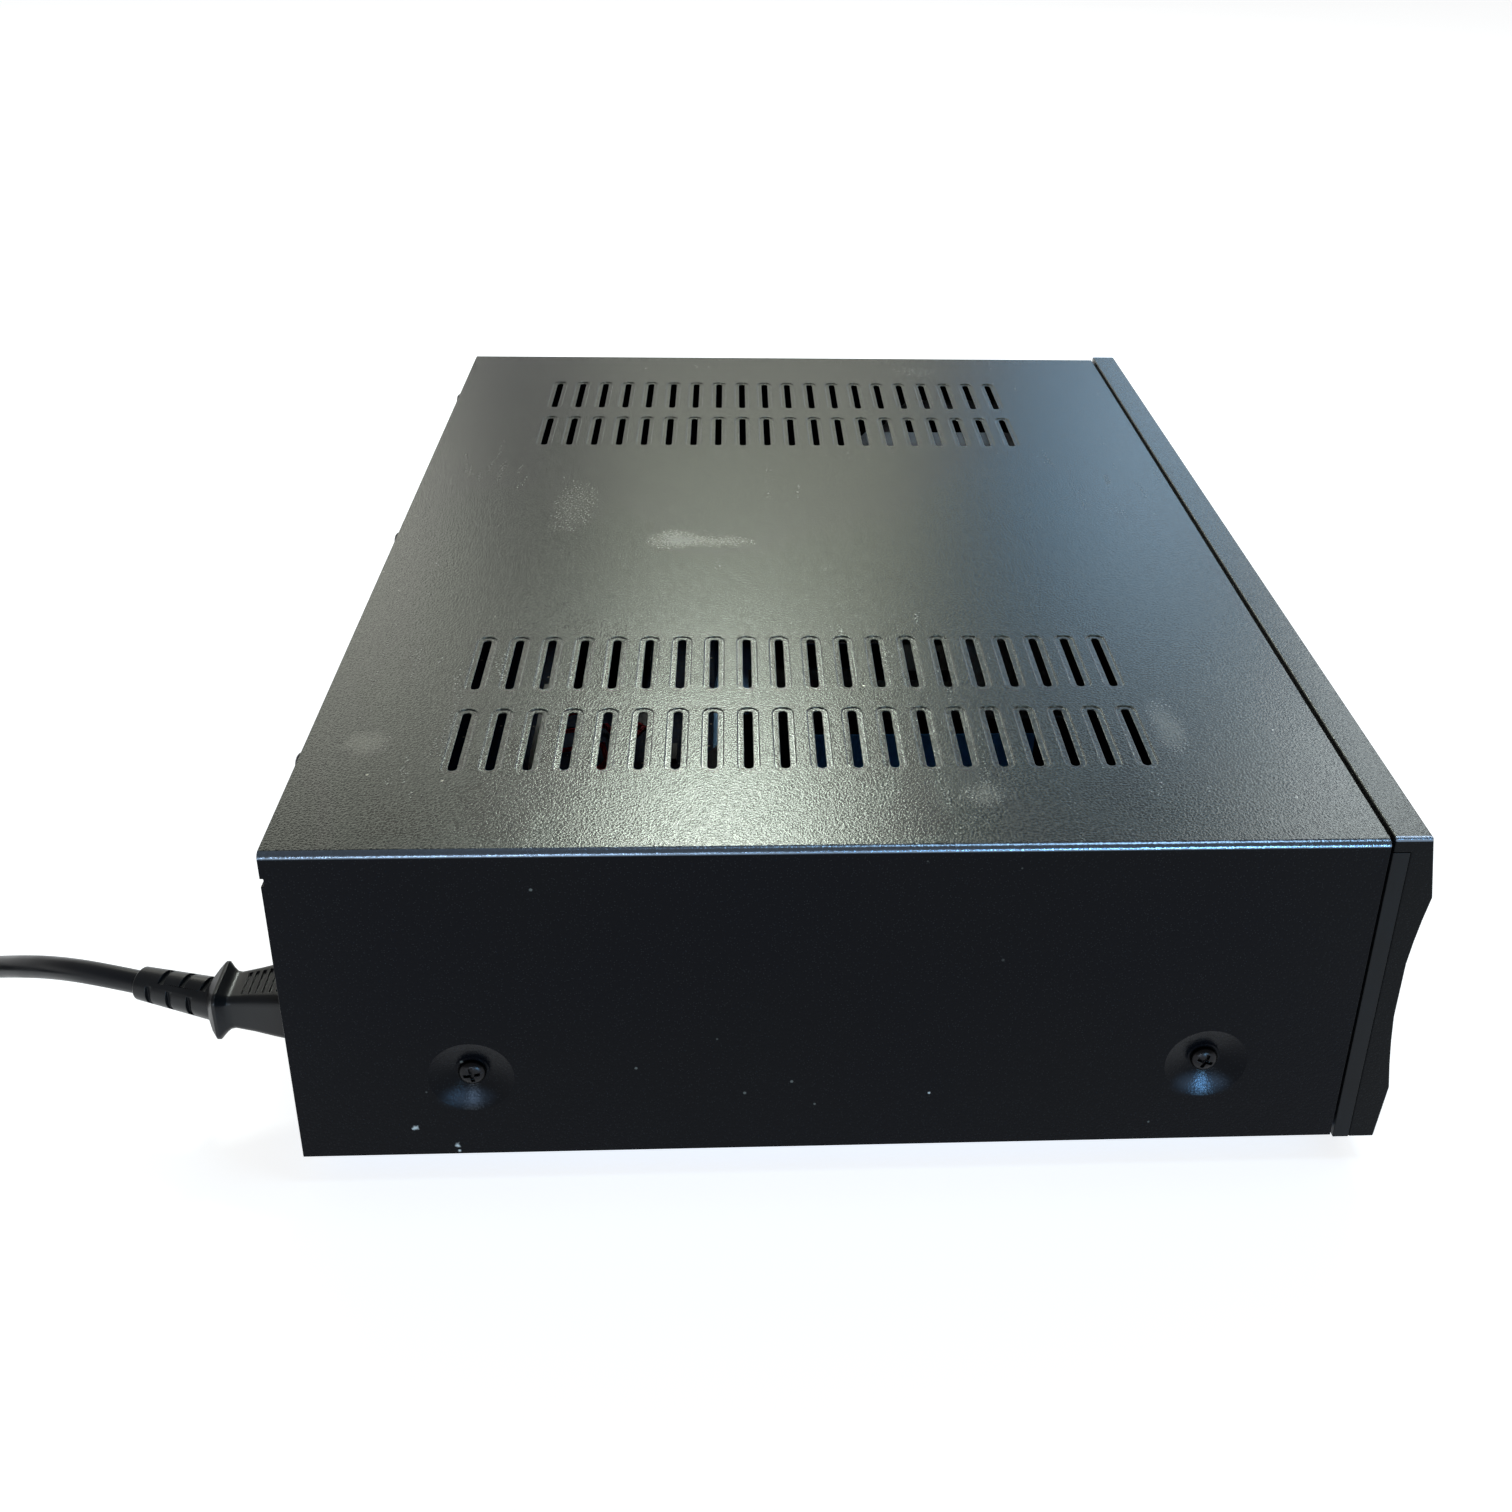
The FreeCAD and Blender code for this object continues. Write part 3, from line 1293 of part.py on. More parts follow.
def traverse_frame():
    """Floating plate with hinge pins at the rear, cam pins in front and posts for the rods."""
    body = block(
        (-TRAVERSE_HALF, TRAVERSE_HALF), (TRAVERSE_FRONT, TRAVERSE_REAR), (DECK_BOTTOM, DECK_TOP)
    )
    opening = block(
        (-TRAVERSE_HOLE_HALF, TRAVERSE_HOLE_HALF),
        (TRAVERSE_HOLE_FRONT, ROD_REAR - POST_LENGTH),
        (DECK_BOTTOM - 1, DECK_TOP + 1),
    )
    body = body.cut(opening)
    top = ROD_Z + 2.5
    posts = []
    for x in (-ROD_X, ROD_X):
        for y in (ROD_FRONT, ROD_REAR - POST_LENGTH):
            posts.append(
                block((x - POST_WIDTH / 2, x + POST_WIDTH / 2), (y, y + POST_LENGTH), (DECK_TOP, top))
            )
    posts.append(
        block(
            (LEAD_X - POST_WIDTH / 2, -ROD_X), (ROD_REAR - POST_LENGTH, ROD_REAR), (DECK_TOP, top)
        )
    )
    pins = [
        rod(HINGE_PIN_RADIUS, (-TRAVERSE_HALF, HINGE_Y, HINGE_Z), (-1, 0, 0), HINGE_PIN_LENGTH),
        rod(HINGE_PIN_RADIUS, (TRAVERSE_HALF, HINGE_Y, HINGE_Z), (1, 0, 0), HINGE_PIN_LENGTH),
    ]
    for x in (-CAM_PIN_X, CAM_PIN_X):
        start = (x, TRAVERSE_FRONT, HINGE_Z)
        pins.append(rod(CAM_PIN_RADIUS, start, (0, -1, 0), TRAVERSE_FRONT - SLIDER_FRONT))
    frame = joined([body] + posts + pins)
    bores = [
        rod(ROD_RADIUS, (x, ROD_FRONT, ROD_Z), (0, 1, 0), ROD_REAR - ROD_FRONT, SMALL_SIDES)
        for x in (-ROD_X, ROD_X)
    ]
    lead_hole = (LEAD_X, ROD_REAR - POST_LENGTH - 1, ROD_Z)
    bores.append(rod(LEAD_RADIUS + PIN_CLEARANCE, lead_hole, (0, 1, 0), POST_LENGTH + 2))
    return without(frame, bores)


def guide_rods():
    """Two steel rods that the pickup runs on."""
    return [
        rod(ROD_RADIUS, (x, ROD_FRONT, ROD_Z), (0, 1, 0), ROD_REAR - ROD_FRONT, SMALL_SIDES)
        for x in (-ROD_X, ROD_X)
    ]


def sled_motor():
    """Small stepper motor lying on the traverse at the lead screw's front end."""
    length = ROD_FRONT + POST_LENGTH - 4 - SLED_MOTOR_FRONT
    start = (LEAD_X, SLED_MOTOR_FRONT, ROD_Z)
    return rod(SLED_MOTOR_RADIUS, start, (0, 1, 0), length, SMALL_SIDES)


def lead_screw():
    """Lead screw from the sled motor to the rear post."""
    start = ROD_FRONT + POST_LENGTH - 4 + RUN_GAP
    return rod(LEAD_RADIUS, (LEAD_X, start, ROD_Z), (0, 1, 0), ROD_REAR - start)


def pickup_sled():
    """Optical block with bushes on both rods and a half nut on the lead screw."""
    low = ROD_Z - SLED_BODY_THICK / 2
    high = ROD_Z + SLED_BODY_THICK / 2
    long = (SLED_FRONT, SLED_REAR)
    narrow = ROD_X - POST_WIDTH / 2 - 1
    body = block((-narrow, narrow), long, (low, high))
    bushes = block((-SLED_HALF, SLED_HALF), (SLED_FRONT + 3, SLED_REAR - 3), (ROD_Z - 3, ROD_Z + 3))
    lens_y = SLED_FRONT + SLED_LENS_OFFSET
    hood = block((-11, 11), (lens_y - 5.5, lens_y + 11), (high, LENS_TOP - 2.5))
    nut = LEAD_X + LEAD_RADIUS + PIN_CLEARANCE
    arm = block((nut, -narrow), (SLED_FRONT + 9, SLED_FRONT + 15), (ROD_Z - 3, ROD_Z + 3))
    sled = joined([body, bushes, hood, arm])
    run = SLED_REAR - SLED_FRONT + 2
    cuts = [
        rod(ROD_RADIUS + PIN_CLEARANCE, (x, SLED_FRONT - 1, ROD_Z), (0, 1, 0), run, SMALL_SIDES)
        for x in (-ROD_X, ROD_X)
    ]
    return without(sled, cuts)


def pickup_lens():
    """Objective lens in its ring on top of the optical block."""
    lens_y = SLED_FRONT + SLED_LENS_OFFSET
    base = LENS_TOP - 2.5
    return turned(
        [
            (0, base),
            (LENS_RADIUS, base),
            (LENS_RADIUS, base + 1.6),
            (LENS_RADIUS - 0.6, base + 1.6),
            (LENS_RADIUS - 1.6, LENS_TOP),
            (0, LENS_TOP),
        ],
        (0, lens_y),
        SMALL_SIDES,
    )


def spindle_motor():
    """Stator and bearing tube of the spindle motor on the traverse plate."""
    stator_top = DECK_TOP + 6
    body = turned(
        [
            (0, DECK_TOP),
            (STATOR_RADIUS + 3, DECK_TOP),
            (STATOR_RADIUS + 3, DECK_TOP + 1.2),
            (STATOR_RADIUS, DECK_TOP + 1.2),
            (STATOR_RADIUS, stator_top),
            (BEARING_RADIUS, stator_top),
            (BEARING_RADIUS, stator_top + 5),
            (0, stator_top + 5),
        ],
        (0, SPINDLE_Y),
    )
    bore = SPINDLE_RADIUS + PIN_CLEARANCE
    return body.cut(rod(bore, (0, SPINDLE_Y, DECK_TOP - 1), (0, 0, 1), 14))


def turntable():
    """Rotor cup, shaft, disc platform and centring cone in one turning piece."""
    cup_low = DECK_TOP + 1.2 + RUN_GAP
    roof_low = DECK_TOP + 6 + 5 + RUN_GAP
    roof_top = roof_low + 1.7
    platform_low = TURNTABLE_TOP - 2.2
    inner = ROTOR_RADIUS - ROTOR_WALL
    body = turned(
        [
            (0, roof_low),
            (inner, roof_low),
            (inner, cup_low),
            (ROTOR_RADIUS, cup_low),
            (ROTOR_RADIUS, roof_top),
            (CONE_RADIUS, roof_top),
            (CONE_RADIUS, platform_low),
            (TURNTABLE_RADIUS, platform_low),
            (TURNTABLE_RADIUS, TURNTABLE_TOP),
            (CONE_RADIUS, TURNTABLE_TOP),
            (CONE_RADIUS - 1.2, TURNTABLE_TOP + CONE_HEIGHT),
            (0, TURNTABLE_TOP + CONE_HEIGHT),
        ],
        (0, SPINDLE_Y),
    )
    low = DECK_TOP + 0.5
    return body.fuse(rod(SPINDLE_RADIUS, (0, SPINDLE_Y, low), (0, 0, 1), roof_low - low))


def clamp_bridge():
    """Sheet bridge over the tray with the clamp's round hole and stiffening folds."""
    long = (BRIDGE_FRONT, BRIDGE_REAR)
    wide = (-LOADER_WALL_OUTER, LOADER_WALL_OUTER)
    top = LOADER_TOP + CHASSIS_SHEET
    deck = block(wide, long, (LOADER_TOP, top))
    fold_half = LOADER_WALL_INNER - 2
    folds = [
        block((-fold_half, fold_half), (y, y + CHASSIS_SHEET), (LOADER_TOP - 3, LOADER_TOP))
        for y in (BRIDGE_FRONT, BRIDGE_REAR - CHASSIS_SHEET)
    ]
    hole = rod(BRIDGE_HOLE_RADIUS, (0, SPINDLE_Y, LOADER_TOP - 1), (0, 0, 1), 3, TURNED_SIDES)
    return joined([deck] + folds).cut(hole)


def clamp_puck():
    """Clamp disc that hangs in the bridge by its top flange."""
    ring_low = TURNTABLE_TOP + DISC_THICK + RUN_GAP
    ring_top = ring_low + PUCK_RING_THICK
    flange_low = LOADER_TOP + CHASSIS_SHEET + RUN_GAP
    cap = TURNTABLE_TOP + CONE_HEIGHT + 1
    return turned(
        [
            (0, cap),
            (PUCK_RING_BORE, cap),
            (PUCK_RING_BORE, ring_low),
            (PUCK_RING_RADIUS, ring_low),
            (PUCK_RING_RADIUS, ring_top),
            (PUCK_NECK_RADIUS, ring_top),
            (PUCK_NECK_RADIUS, flange_low),
            (PUCK_FLANGE_RADIUS, flange_low),
            (PUCK_FLANGE_RADIUS, flange_low + PUCK_FLANGE_THICK),
            (0, flange_low + PUCK_FLANGE_THICK),
        ],
        (0, SPINDLE_Y),
    )


# Electronics


def power_board():
    """Mains supply board."""
    return block(
        (POWER_BOARD_LEFT, POWER_BOARD_RIGHT),
        (POWER_BOARD_FRONT, POWER_BOARD_REAR),
        (BOARD_HEIGHT, BOARD_TOP),
    )


def power_transformer():
    """Switching transformer: winding on a bobbin inside a ferrite frame."""
    x, y = TRANSFORMER_X, TRANSFORMER_Y
    core = block((x - 18, x + 18), (y - 8, y + 8), (BOARD_TOP + 3, BOARD_TOP + 31))
    window = block((x - 13, x + 13), (y - 9, y + 9), (BOARD_TOP + 8, BOARD_TOP + 26))
    winding = rod(12.5, (x, y, BOARD_TOP + 8), (0, 0, 1), 18, TURNED_SIDES)
    base = block((x - 15, x + 15), (y - 13, y + 13), (BOARD_TOP, BOARD_TOP + 3))
    bobbin = block((x - 12, x + 12), (y - 12, y + 12), (BOARD_TOP + 3, BOARD_TOP + 8))
    return joined([core.cut(window), winding, base, bobbin])


def power_capacitors():
    """Row of upright can capacitors on the supply board."""
    cans = []
    for y, part in zip(CAPACITOR_PLACES, (1, 1, 0.75)):
        start = (CAPACITOR_X, y, BOARD_TOP)
        cans.append(rod(CAPACITOR_RADIUS, start, (0, 0, 1), CAPACITOR_HEIGHT * part, TURNED_SIDES))
    return cans


def power_heatsink():
    """Upright aluminium plate with fins on the supply board."""
    x, y = POWER_SINK_X, POWER_SINK_Y
    half = POWER_SINK_LENGTH / 2
    tall = (BOARD_TOP, BOARD_TOP + POWER_SINK_HEIGHT)
    pieces = [block((x, x + 3), (y - half, y + half), tall)]
    step = POWER_SINK_LENGTH / POWER_SINK_FINS
    for i in range(POWER_SINK_FINS):
        mid = y - half + step * (i + 0.5)
        pieces.append(block((x + 3, x + 12), (mid - 0.8, mid + 0.8), tall))
    return joined(pieces)


def main_board():
    """Large circuit board: behind the loader and along its right side."""
    z = BOARD_HEIGHT
    points = [
        (MAIN_BOARD_LEFT, MAIN_BOARD_STEP_Y, z),
        (MAIN_BOARD_STEP_X, MAIN_BOARD_STEP_Y, z),
        (MAIN_BOARD_STEP_X, MAIN_BOARD_FRONT, z),
        (MAIN_BOARD_RIGHT, MAIN_BOARD_FRONT, z),
        (MAIN_BOARD_RIGHT, POWER_BOARD_REAR, z),
        (MAIN_BOARD_NOTCH_X, POWER_BOARD_REAR, z),
        (MAIN_BOARD_NOTCH_X, MAIN_BOARD_NOTCH_Y, z),
        (MAIN_BOARD_LEFT, MAIN_BOARD_NOTCH_Y, z),
    ]
    return plate(points, (0, 0, BOARD_THICK))


def main_heatsink():
    """Finned aluminium block on the main processor."""
    half = SINK_SIDE / 2
    base = BOARD_TOP + CHIP_THICK
    wide = (SINK_X - half, SINK_X + half)
    pieces = [block(wide, (SINK_Y - half, SINK_Y + half), (base, base + SINK_BASE))]
    step = (SINK_SIDE - SINK_FIN) / (SINK_FINS - 1)
    for i in range(SINK_FINS):
        x = SINK_X - half + i * step
        pieces.append(
            block((x, x + SINK_FIN), (SINK_Y - half, SINK_Y + half), (base + SINK_BASE, base + SINK_HEIGHT))
        )
    return joined(pieces)


def main_chips():
    """Processor under the heatsink, memories and the smaller chips."""
    chips = [(SINK_X, SINK_Y, 30, 30), (SINK_X - 34, 235, 11, 14), (SINK_X - 34, 255, 11, 14)]
    chips += [(20, 225, 20, 20), (150, 240, 14, 14), (150, 120, 24, 24), (-10, 215, 12, 8)]
    return [
        block((x - w / 2, x + w / 2), (y - d / 2, y + d / 2), (BOARD_TOP, BOARD_TOP + CHIP_THICK))
        for x, y, w, d in chips
    ]


# White headers on the boards: x, y, width and depth
HEADERS = ((0.0, 266.0, 64.0, 7.0), (-106.0, 262.0, 7.0, 34.0), (-60.0, 204.0, 30.0, 6.0))
HEADERS += ((MAIN_BOARD_RIGHT - 21.0, 112.0, 26.0, 6.0), (150.0, 136.0, 26.0, 6.0), (125.0, 200.0, 7.0, 30.0))
HEADER_HEIGHT = 10.0
FLAT_CABLE_THICK = 0.5


def board_connectors():
    """White plug-in headers."""
    return [
        block((x - w / 2, x + w / 2), (y - d / 2, y + d / 2), (BOARD_TOP, BOARD_TOP + HEADER_HEIGHT))
        for x, y, w, d in HEADERS
    ]


def bent_bar(points, radius, sides):
    """A bar of many-sided section along straight runs joined by tangent arcs."""
    corners = [Vector(*p) for p in points]
    edges = []
    here = corners[0]
    for before, corner, after in zip(corners, corners[1:], corners[2:]):
        back = (before - corner).normalize()
        ahead = (after - corner).normalize()
        turn = math.pi - back.getAngle(ahead)
        reach = 0.45 * min((before - corner).Length, (after - corner).Length)
        start = corner + back * reach
        end = corner + ahead * reach
        bend = reach / math.tan(turn / 2)
        chord = (back + ahead).normalize()
        middle = corner + chord * (math.hypot(bend, reach) - bend)
        edges.append(Part.LineSegment(here, start).toShape())
        edges.append(Part.Arc(start, middle, end).toShape())
        here = end
    edges.append(Part.LineSegment(here, corners[-1]).toShape())
    path = Part.Wire(edges)
    section = many_sided(corners[0], corners[1] - corners[0], radius, sides)
    return path.makePipeShell([section], True, False), path


def mitred_bar(points, radius, sides):
    """A many-sided bar along straight runs with mitred corners."""
    corners = [Vector(*p) for p in points]
    way = (corners[1] - corners[0]).normalize()
    outline = corners_round(corners[0], way, radius, sides)
    outlines = [outline]
    for i, corner in enumerate(corners[1:], 1):
        after = corners[min(i + 1, len(corners) - 1)] - corner
        after = after.normalize() if after.Length else way
        square = way + after
        outline = [p + way * ((corner - p).dot(square) / way.dot(square)) for p in outline]
        outlines.append(outline)
        way = after
    return skinned(outlines)


WIRE_RADIUS = 0.8
WIRE_SPREAD = 6.0


def wire_harness():
    """Red supply wires from the power board's header to the main board's."""
    wires = []
    for i in range(3):
        shift = i * WIRE_SPREAD
        y_from = HEADERS[1][1] - WIRE_SPREAD + shift
        x_from = HEADERS[1][0] + HEADERS[1][2] / 2
        x_to = HEADERS[0][0] - 20 + shift * 3
        y_to = HEADERS[0][1] - HEADERS[0][3] / 2
        z = BOARD_TOP + HEADER_HEIGHT - 2 * WIRE_RADIUS - i * 2.4 * WIRE_RADIUS
        points = [
            (x_from, y_from, z),
            (x_from + 5, y_from, z),
            (x_from + 16, y_from - 1, z + 6),
            (x_to - 24, y_to - 26 - shift, z + 7),
            (x_to - 2, y_to - 22, z + 4),
            (x_to, y_to - 5, z),
            (x_to, y_to, z),
        ]
        wires.append(mitred_bar(points, WIRE_RADIUS, 4))
    return wires


def flat_cables():
    """Flat white cables: loader to main board, and front board over to the main board."""
    cables = []
    half = 11.0
    thick = FLAT_CABLE_THICK
    for header, rise in ((3, 22.0), (4, 18.0)):
        x, y = HEADERS[header][0], HEADERS[header][1]
        top = FRONT_BOARD_TOP + rise
        low = BOARD_TOP + HEADER_HEIGHT
        near = FRONT_BOARD_Y + BOARD_THICK
        line = [(near, FRONT_BOARD_TOP - 8), (near + 3, FRONT_BOARD_TOP - 8)]
        line += [(near + 30, top), (y - 14, top), (y, top - 16), (y, low)]
        cables.append(strip(line, x, half, thick))
    x, y = HEADERS[2][0], HEADERS[2][1]
    line = [(LOADER_REAR, 52.0), (LOADER_REAR + 6, 52.0)]
    line += [(y, 40.0), (y, BOARD_TOP + HEADER_HEIGHT)]
    cables.append(strip(line, x, half, thick))
    return cables


def strip(line, x, half, thick):
    """A flat strip along a bent line in the YZ plane, with one thickness all along."""
    over, under = [], []
    count = len(line)
    for i, (y, z) in enumerate(line):
        a = line[max(i - 1, 0)]
        b = line[min(i + 1, count - 1)]
        first = (y - a[0], z - a[1]) if i else (b[0] - y, b[1] - z)
        second = (b[0] - y, b[1] - z) if i < count - 1 else first
        n1 = unit(-first[1], first[0])
        n2 = unit(-second[1], second[0])
        mid = unit(n1[0] + n2[0], n1[1] + n2[1])
        scale = thick / 2 / (mid[0] * n1[0] + mid[1] * n1[1])
        over.append((x - half, y + mid[0] * scale, z + mid[1] * scale))
        under.append((x - half, y - mid[0] * scale, z - mid[1] * scale))
    return plate(over + under[::-1], (2 * half, 0, 0))


def unit(a, b):
    """A plane direction of length one."""
    length = math.hypot(a, b)
    return a / length, b / length


# Sockets and fan


def mains_inlet():
    """Three-pin mains inlet: housing, flange, cavity and pins."""
    wide, tall = INLET_HALF_WIDTH, INLET_HALF_HEIGHT
    front = REAR_FACE - INLET_DEPTH - 2
    body = block(
        (INLET_X - wide, INLET_X + wide), (front, REAR_FACE), (INLET_Z - tall, INLET_Z + tall)
    )
    flange = block(
        (INLET_X - wide - 2, INLET_X + wide + 2),
        (REAR_FACE, REAR_FACE + INLET_FLANGE),
        (INLET_Z - tall - 1.5, INLET_Z + tall + 1.5),
    )
    cavity = block(
        (INLET_X - INLET_CAVITY_HALF_WIDTH, INLET_X + INLET_CAVITY_HALF_WIDTH),
        (front + 2, REAR_FACE + INLET_FLANGE + 1),
        (INLET_Z - INLET_CAVITY_HALF_HEIGHT, INLET_Z + INLET_CAVITY_HALF_HEIGHT),
    )
    pins = [
        block((x - 1, x + 1), (front + 1, REAR_FACE - 3), (z - 2, z + 2)) for x, z in pin_places()
    ]
    return joined([body.fuse(flange).cut(cavity)] + pins)


def pin_places():
    """Mains pins: two below and the earth pin above."""
    return [(INLET_X - 7, INLET_Z - 2), (INLET_X + 7, INLET_Z - 2), (INLET_X, INLET_Z + 2)]


def phono_jacks():
    """Block of four coaxial sockets with round barrels."""
    back = REAR_FACE - CHASSIS_SHEET
    margin = 8.0
    housing = block(
        (JACK_X[0] - margin, JACK_X[1] + margin),
        (back - 12, back),
        (BOARD_TOP, JACK_Z[1] + margin),
    )
    pieces = [housing]
    bores = []
    for x in JACK_X:
        for z in JACK_Z:
            reach = REAR_REACH - back
            pieces.append(rod(JACK_RADIUS, (x, back, z), (0, 1, 0), reach, SMALL_SIDES))
            bores.append(rod(JACK_BORE_RADIUS, (x, back, z), (0, 1, 0), reach + 1, 8))
    return without(joined(pieces), bores)


def hdmi_socket():
    """Flat digital video socket with chamfered lower corners."""
    front = REAR_FACE - 13
    rear = REAR_FACE + SOCKET_PROUD
    shell = socket_outline(HDMI_X, HDMI_HALF, BOARD_TOP, HDMI_TALL, front, rear - front)
    room = socket_outline(HDMI_X, HDMI_HALF - 0.5, BOARD_TOP + 0.5, HDMI_TALL - 1, rear - 11, 12)
    return shell.cut(room)


def socket_outline(x, half, low, tall, y, length):
    """Outline with two cut lower corners, carried to the rear."""
    cut = 1.2
    points = [
        (x - half + cut, y, low),
        (x + half - cut, y, low),
        (x + half, y, low + cut),
        (x + half, y, low + tall),
        (x - half, y, low + tall),
        (x - half, y, low + cut),
    ]
    return plate(points, (0, length, 0))


def network_socket():
    """Square network socket with a latch notch."""
    front = REAR_FACE - 18
    rear = REAR_FACE + SOCKET_PROUD
    half = NETWORK_HALF
    shell = block((NETWORK_X - half, NETWORK_X + half), (front, rear), (BOARD_TOP, BOARD_TOP + NETWORK_TALL))
    room = block((NETWORK_X - 6, NETWORK_X + 6), (rear - 12, rear + 1), (BOARD_TOP + 3.2, BOARD_TOP + 11))
    notch = block((NETWORK_X - 3, NETWORK_X + 3), (rear - 12, rear + 1), (BOARD_TOP + 1.4, BOARD_TOP + 4))
    return shell.cut(room).cut(notch)


def fan_frame():
    """Square fan housing with a hub on three struts."""
    back = REAR_FACE - CHASSIS_SHEET
    front = back - FAN_DEPTH
    half = FAN_SIDE / 2
    body = block((FAN_X - half, FAN_X + half), (front, back), (FAN_Z - half, FAN_Z + half))
    start = (FAN_X, front - 1, FAN_Z)
    duct = rod(FAN_BORE_RADIUS, start, (0, 1, 0), FAN_DEPTH + 2, LARGE_SIDES)
    hub = rod(FAN_HUB_RADIUS, (FAN_X, back - 3, FAN_Z), (0, 1, 0), 3, TURNED_SIDES)
    struts = []
    for i in range(3):
        strut = block((FAN_X, FAN_X + FAN_BORE_RADIUS + 1), (back - 3, back), (FAN_Z - 1.5, FAN_Z + 1.5))
        strut.rotate(Vector(FAN_X, 0, FAN_Z), Vector(0, 1, 0), 90 + 120 * i)
        struts.append(strut)
    pin = rod(FAN_SHAFT_RADIUS, (FAN_X, front + 3, FAN_Z), (0, 1, 0), FAN_DEPTH - 4)
    return joined([body.cut(duct), hub, pin] + struts)


def fan_rotor():
    """Rotor with a closed hub and tilted blades, turning on the frame's pin."""
    back = REAR_FACE - CHASSIS_SHEET
    front = back - FAN_DEPTH + 0.5
    depth = FAN_DEPTH - 3.5 - RUN_GAP
    hub = rod(FAN_HUB_RADIUS, (FAN_X, front, FAN_Z), (0, 1, 0), depth, TURNED_SIDES)
    blades = []
    tip = FAN_BORE_RADIUS - FAN_TIP_GAP
    for i in range(FAN_BLADES):
        blade = block(
            (FAN_X + FAN_HUB_RADIUS - 1, FAN_X + tip),
            (front + 0.5, front + depth - 0.5),
            (FAN_Z - FAN_BLADE_THICK / 2, FAN_Z + FAN_BLADE_THICK / 2),
        )
        middle = Vector(FAN_X, front + depth / 2, FAN_Z)
        blade.rotate(middle, Vector(1, 0, 0), 38)
        blade.rotate(Vector(FAN_X, 0, FAN_Z), Vector(0, 1, 0), 360 / FAN_BLADES * i)
        blades.append(blade)
    sweep = rod(tip, (FAN_X, front, FAN_Z), (0, 1, 0), depth, LARGE_SIDES)
    rotor = joined([hub] + blades).common(sweep)
    bore = rod(
        FAN_SHAFT_RADIUS + PIN_CLEARANCE, (FAN_X, front + 2, FAN_Z), (0, 1, 0), FAN_DEPTH
    )
    return rotor.cut(bore)


# Mains cord


def rounded_outline(centre_x, centre_z, half_width, half_height, corner, y):
    """Rectangle with corners rounded in two flats, standing square to the cord."""
    points = []
    for i, (sx, sz) in enumerate(((1, 1), (-1, 1), (-1, -1), (1, -1))):
        for step in range(3):
            angle = math.pi / 2 * (i + step / 2)
            x = centre_x + sx * (half_width - corner) + corner * math.cos(angle)
            z = centre_z + sz * (half_height - corner) + corner * math.sin(angle)
            points.append(Vector(x, y, z))
    return points


def cord_connector():
    """Moulded connector in the inlet: nose, waisted grip, collar and a bent strain relief."""
    gap = NOSE_CLEARANCE
    face = REAR_FACE + INLET_FLANGE + gap
    nose_front = REAR_FACE - INLET_DEPTH + 1
    nose = block(
        (INLET_X - INLET_CAVITY_HALF_WIDTH + gap, INLET_X + INLET_CAVITY_HALF_WIDTH - gap),
        (nose_front, face),
        (INLET_Z - INLET_CAVITY_HALF_HEIGHT + gap, INLET_Z + INLET_CAVITY_HALF_HEIGHT - gap),
    )
    pins = [
        block((x - 1 - gap, x + 1 + gap), (nose_front - 1, REAR_FACE - 2), (z - 2 - gap, z + 2 + gap))
        for x, z in pin_places()
    ]
    sections = (
        (face, 12.0, 8.5, 3.0),
        (face + 9, 11.2, 8.0, 3.0),
        (COLLAR_Y - 16, 7.6, 6.0, 2.5),
        (COLLAR_Y - 6, 7.6, 6.0, 2.5),
    )
    grip = skinned([rounded_outline(INLET_X, INLET_Z, w, h, c, y) for y, w, h, c in sections])
    collar_front = rounded_outline(INLET_X, INLET_Z, 8.0, 6.5, 2.5, COLLAR_Y - 6)
    collar_wide = rounded_outline(INLET_X, INLET_Z, 10.5, 8.8, 3.0, COLLAR_Y - 2.5)
    collar_rear = rounded_outline(INLET_X, INLET_Z, 10.5, 8.8, 3.0, COLLAR_Y + 1)
    collar = skinned([collar_front, collar_wide, collar_rear])
    start = (INLET_X, COLLAR_Y, INLET_Z)
    relief = taper(RELIEF_RADII, start, relief_way(), RELIEF_LENGTH, SMALL_SIDES)
    return joined([nose.fuse(grip), collar, relief]).cut(Part.makeCompound(pins))


def relief_way():
    """Direction of the strain relief, which the stiff cord holds bent."""
    turn = math.radians(RELIEF_TURN)
    return Vector(math.sin(turn), math.cos(turn), 0)


def cord_start():
    """Where the cord leaves the strain relief."""
    return Vector(INLET_X, COLLAR_Y, INLET_Z) + relief_way() * RELIEF_LENGTH


def mains_cord():
    """The free stretch from the strain relief to the coil on the table."""
    start = cord_start()
    points = [tuple(start), tuple(start + relief_way() * CORD_FIRST_RUN)] + list(CORD_POINTS)
    solid, path = bent_bar(points, CORD_RADIUS, CORD_SIDES)
    radii = [e.Curve.Radius for e in path.Edges if hasattr(e.Curve, "Radius")]
    area = CORD_SIDES * CORD_RADIUS**2 * math.tan(math.pi / CORD_SIDES)
    print("cord bends", [round(r, 1) for r in radii])
    print("cord volume", round(solid.Volume, 1), "section by length", round(area * path.Length, 1))
    print("cord free length", round(path.Length, 1))
    return solid


def half_turn(start, heading, end, final):
    """Two tangent arcs from one point and heading to another, with their middle points."""
    span = end - start
    total = heading + final
    a = 4 - total.dot(total)
    b = 2 * span.dot(total)
    c = -span.dot(span)
    reach = (-b + math.sqrt(b * b - 4 * a * c)) / (2 * a)
    first = start + heading * reach
    last = end - final * reach
    joint = (first + last) / 2
    return [arc_through(start, first, joint), arc_through(joint, last, end)]


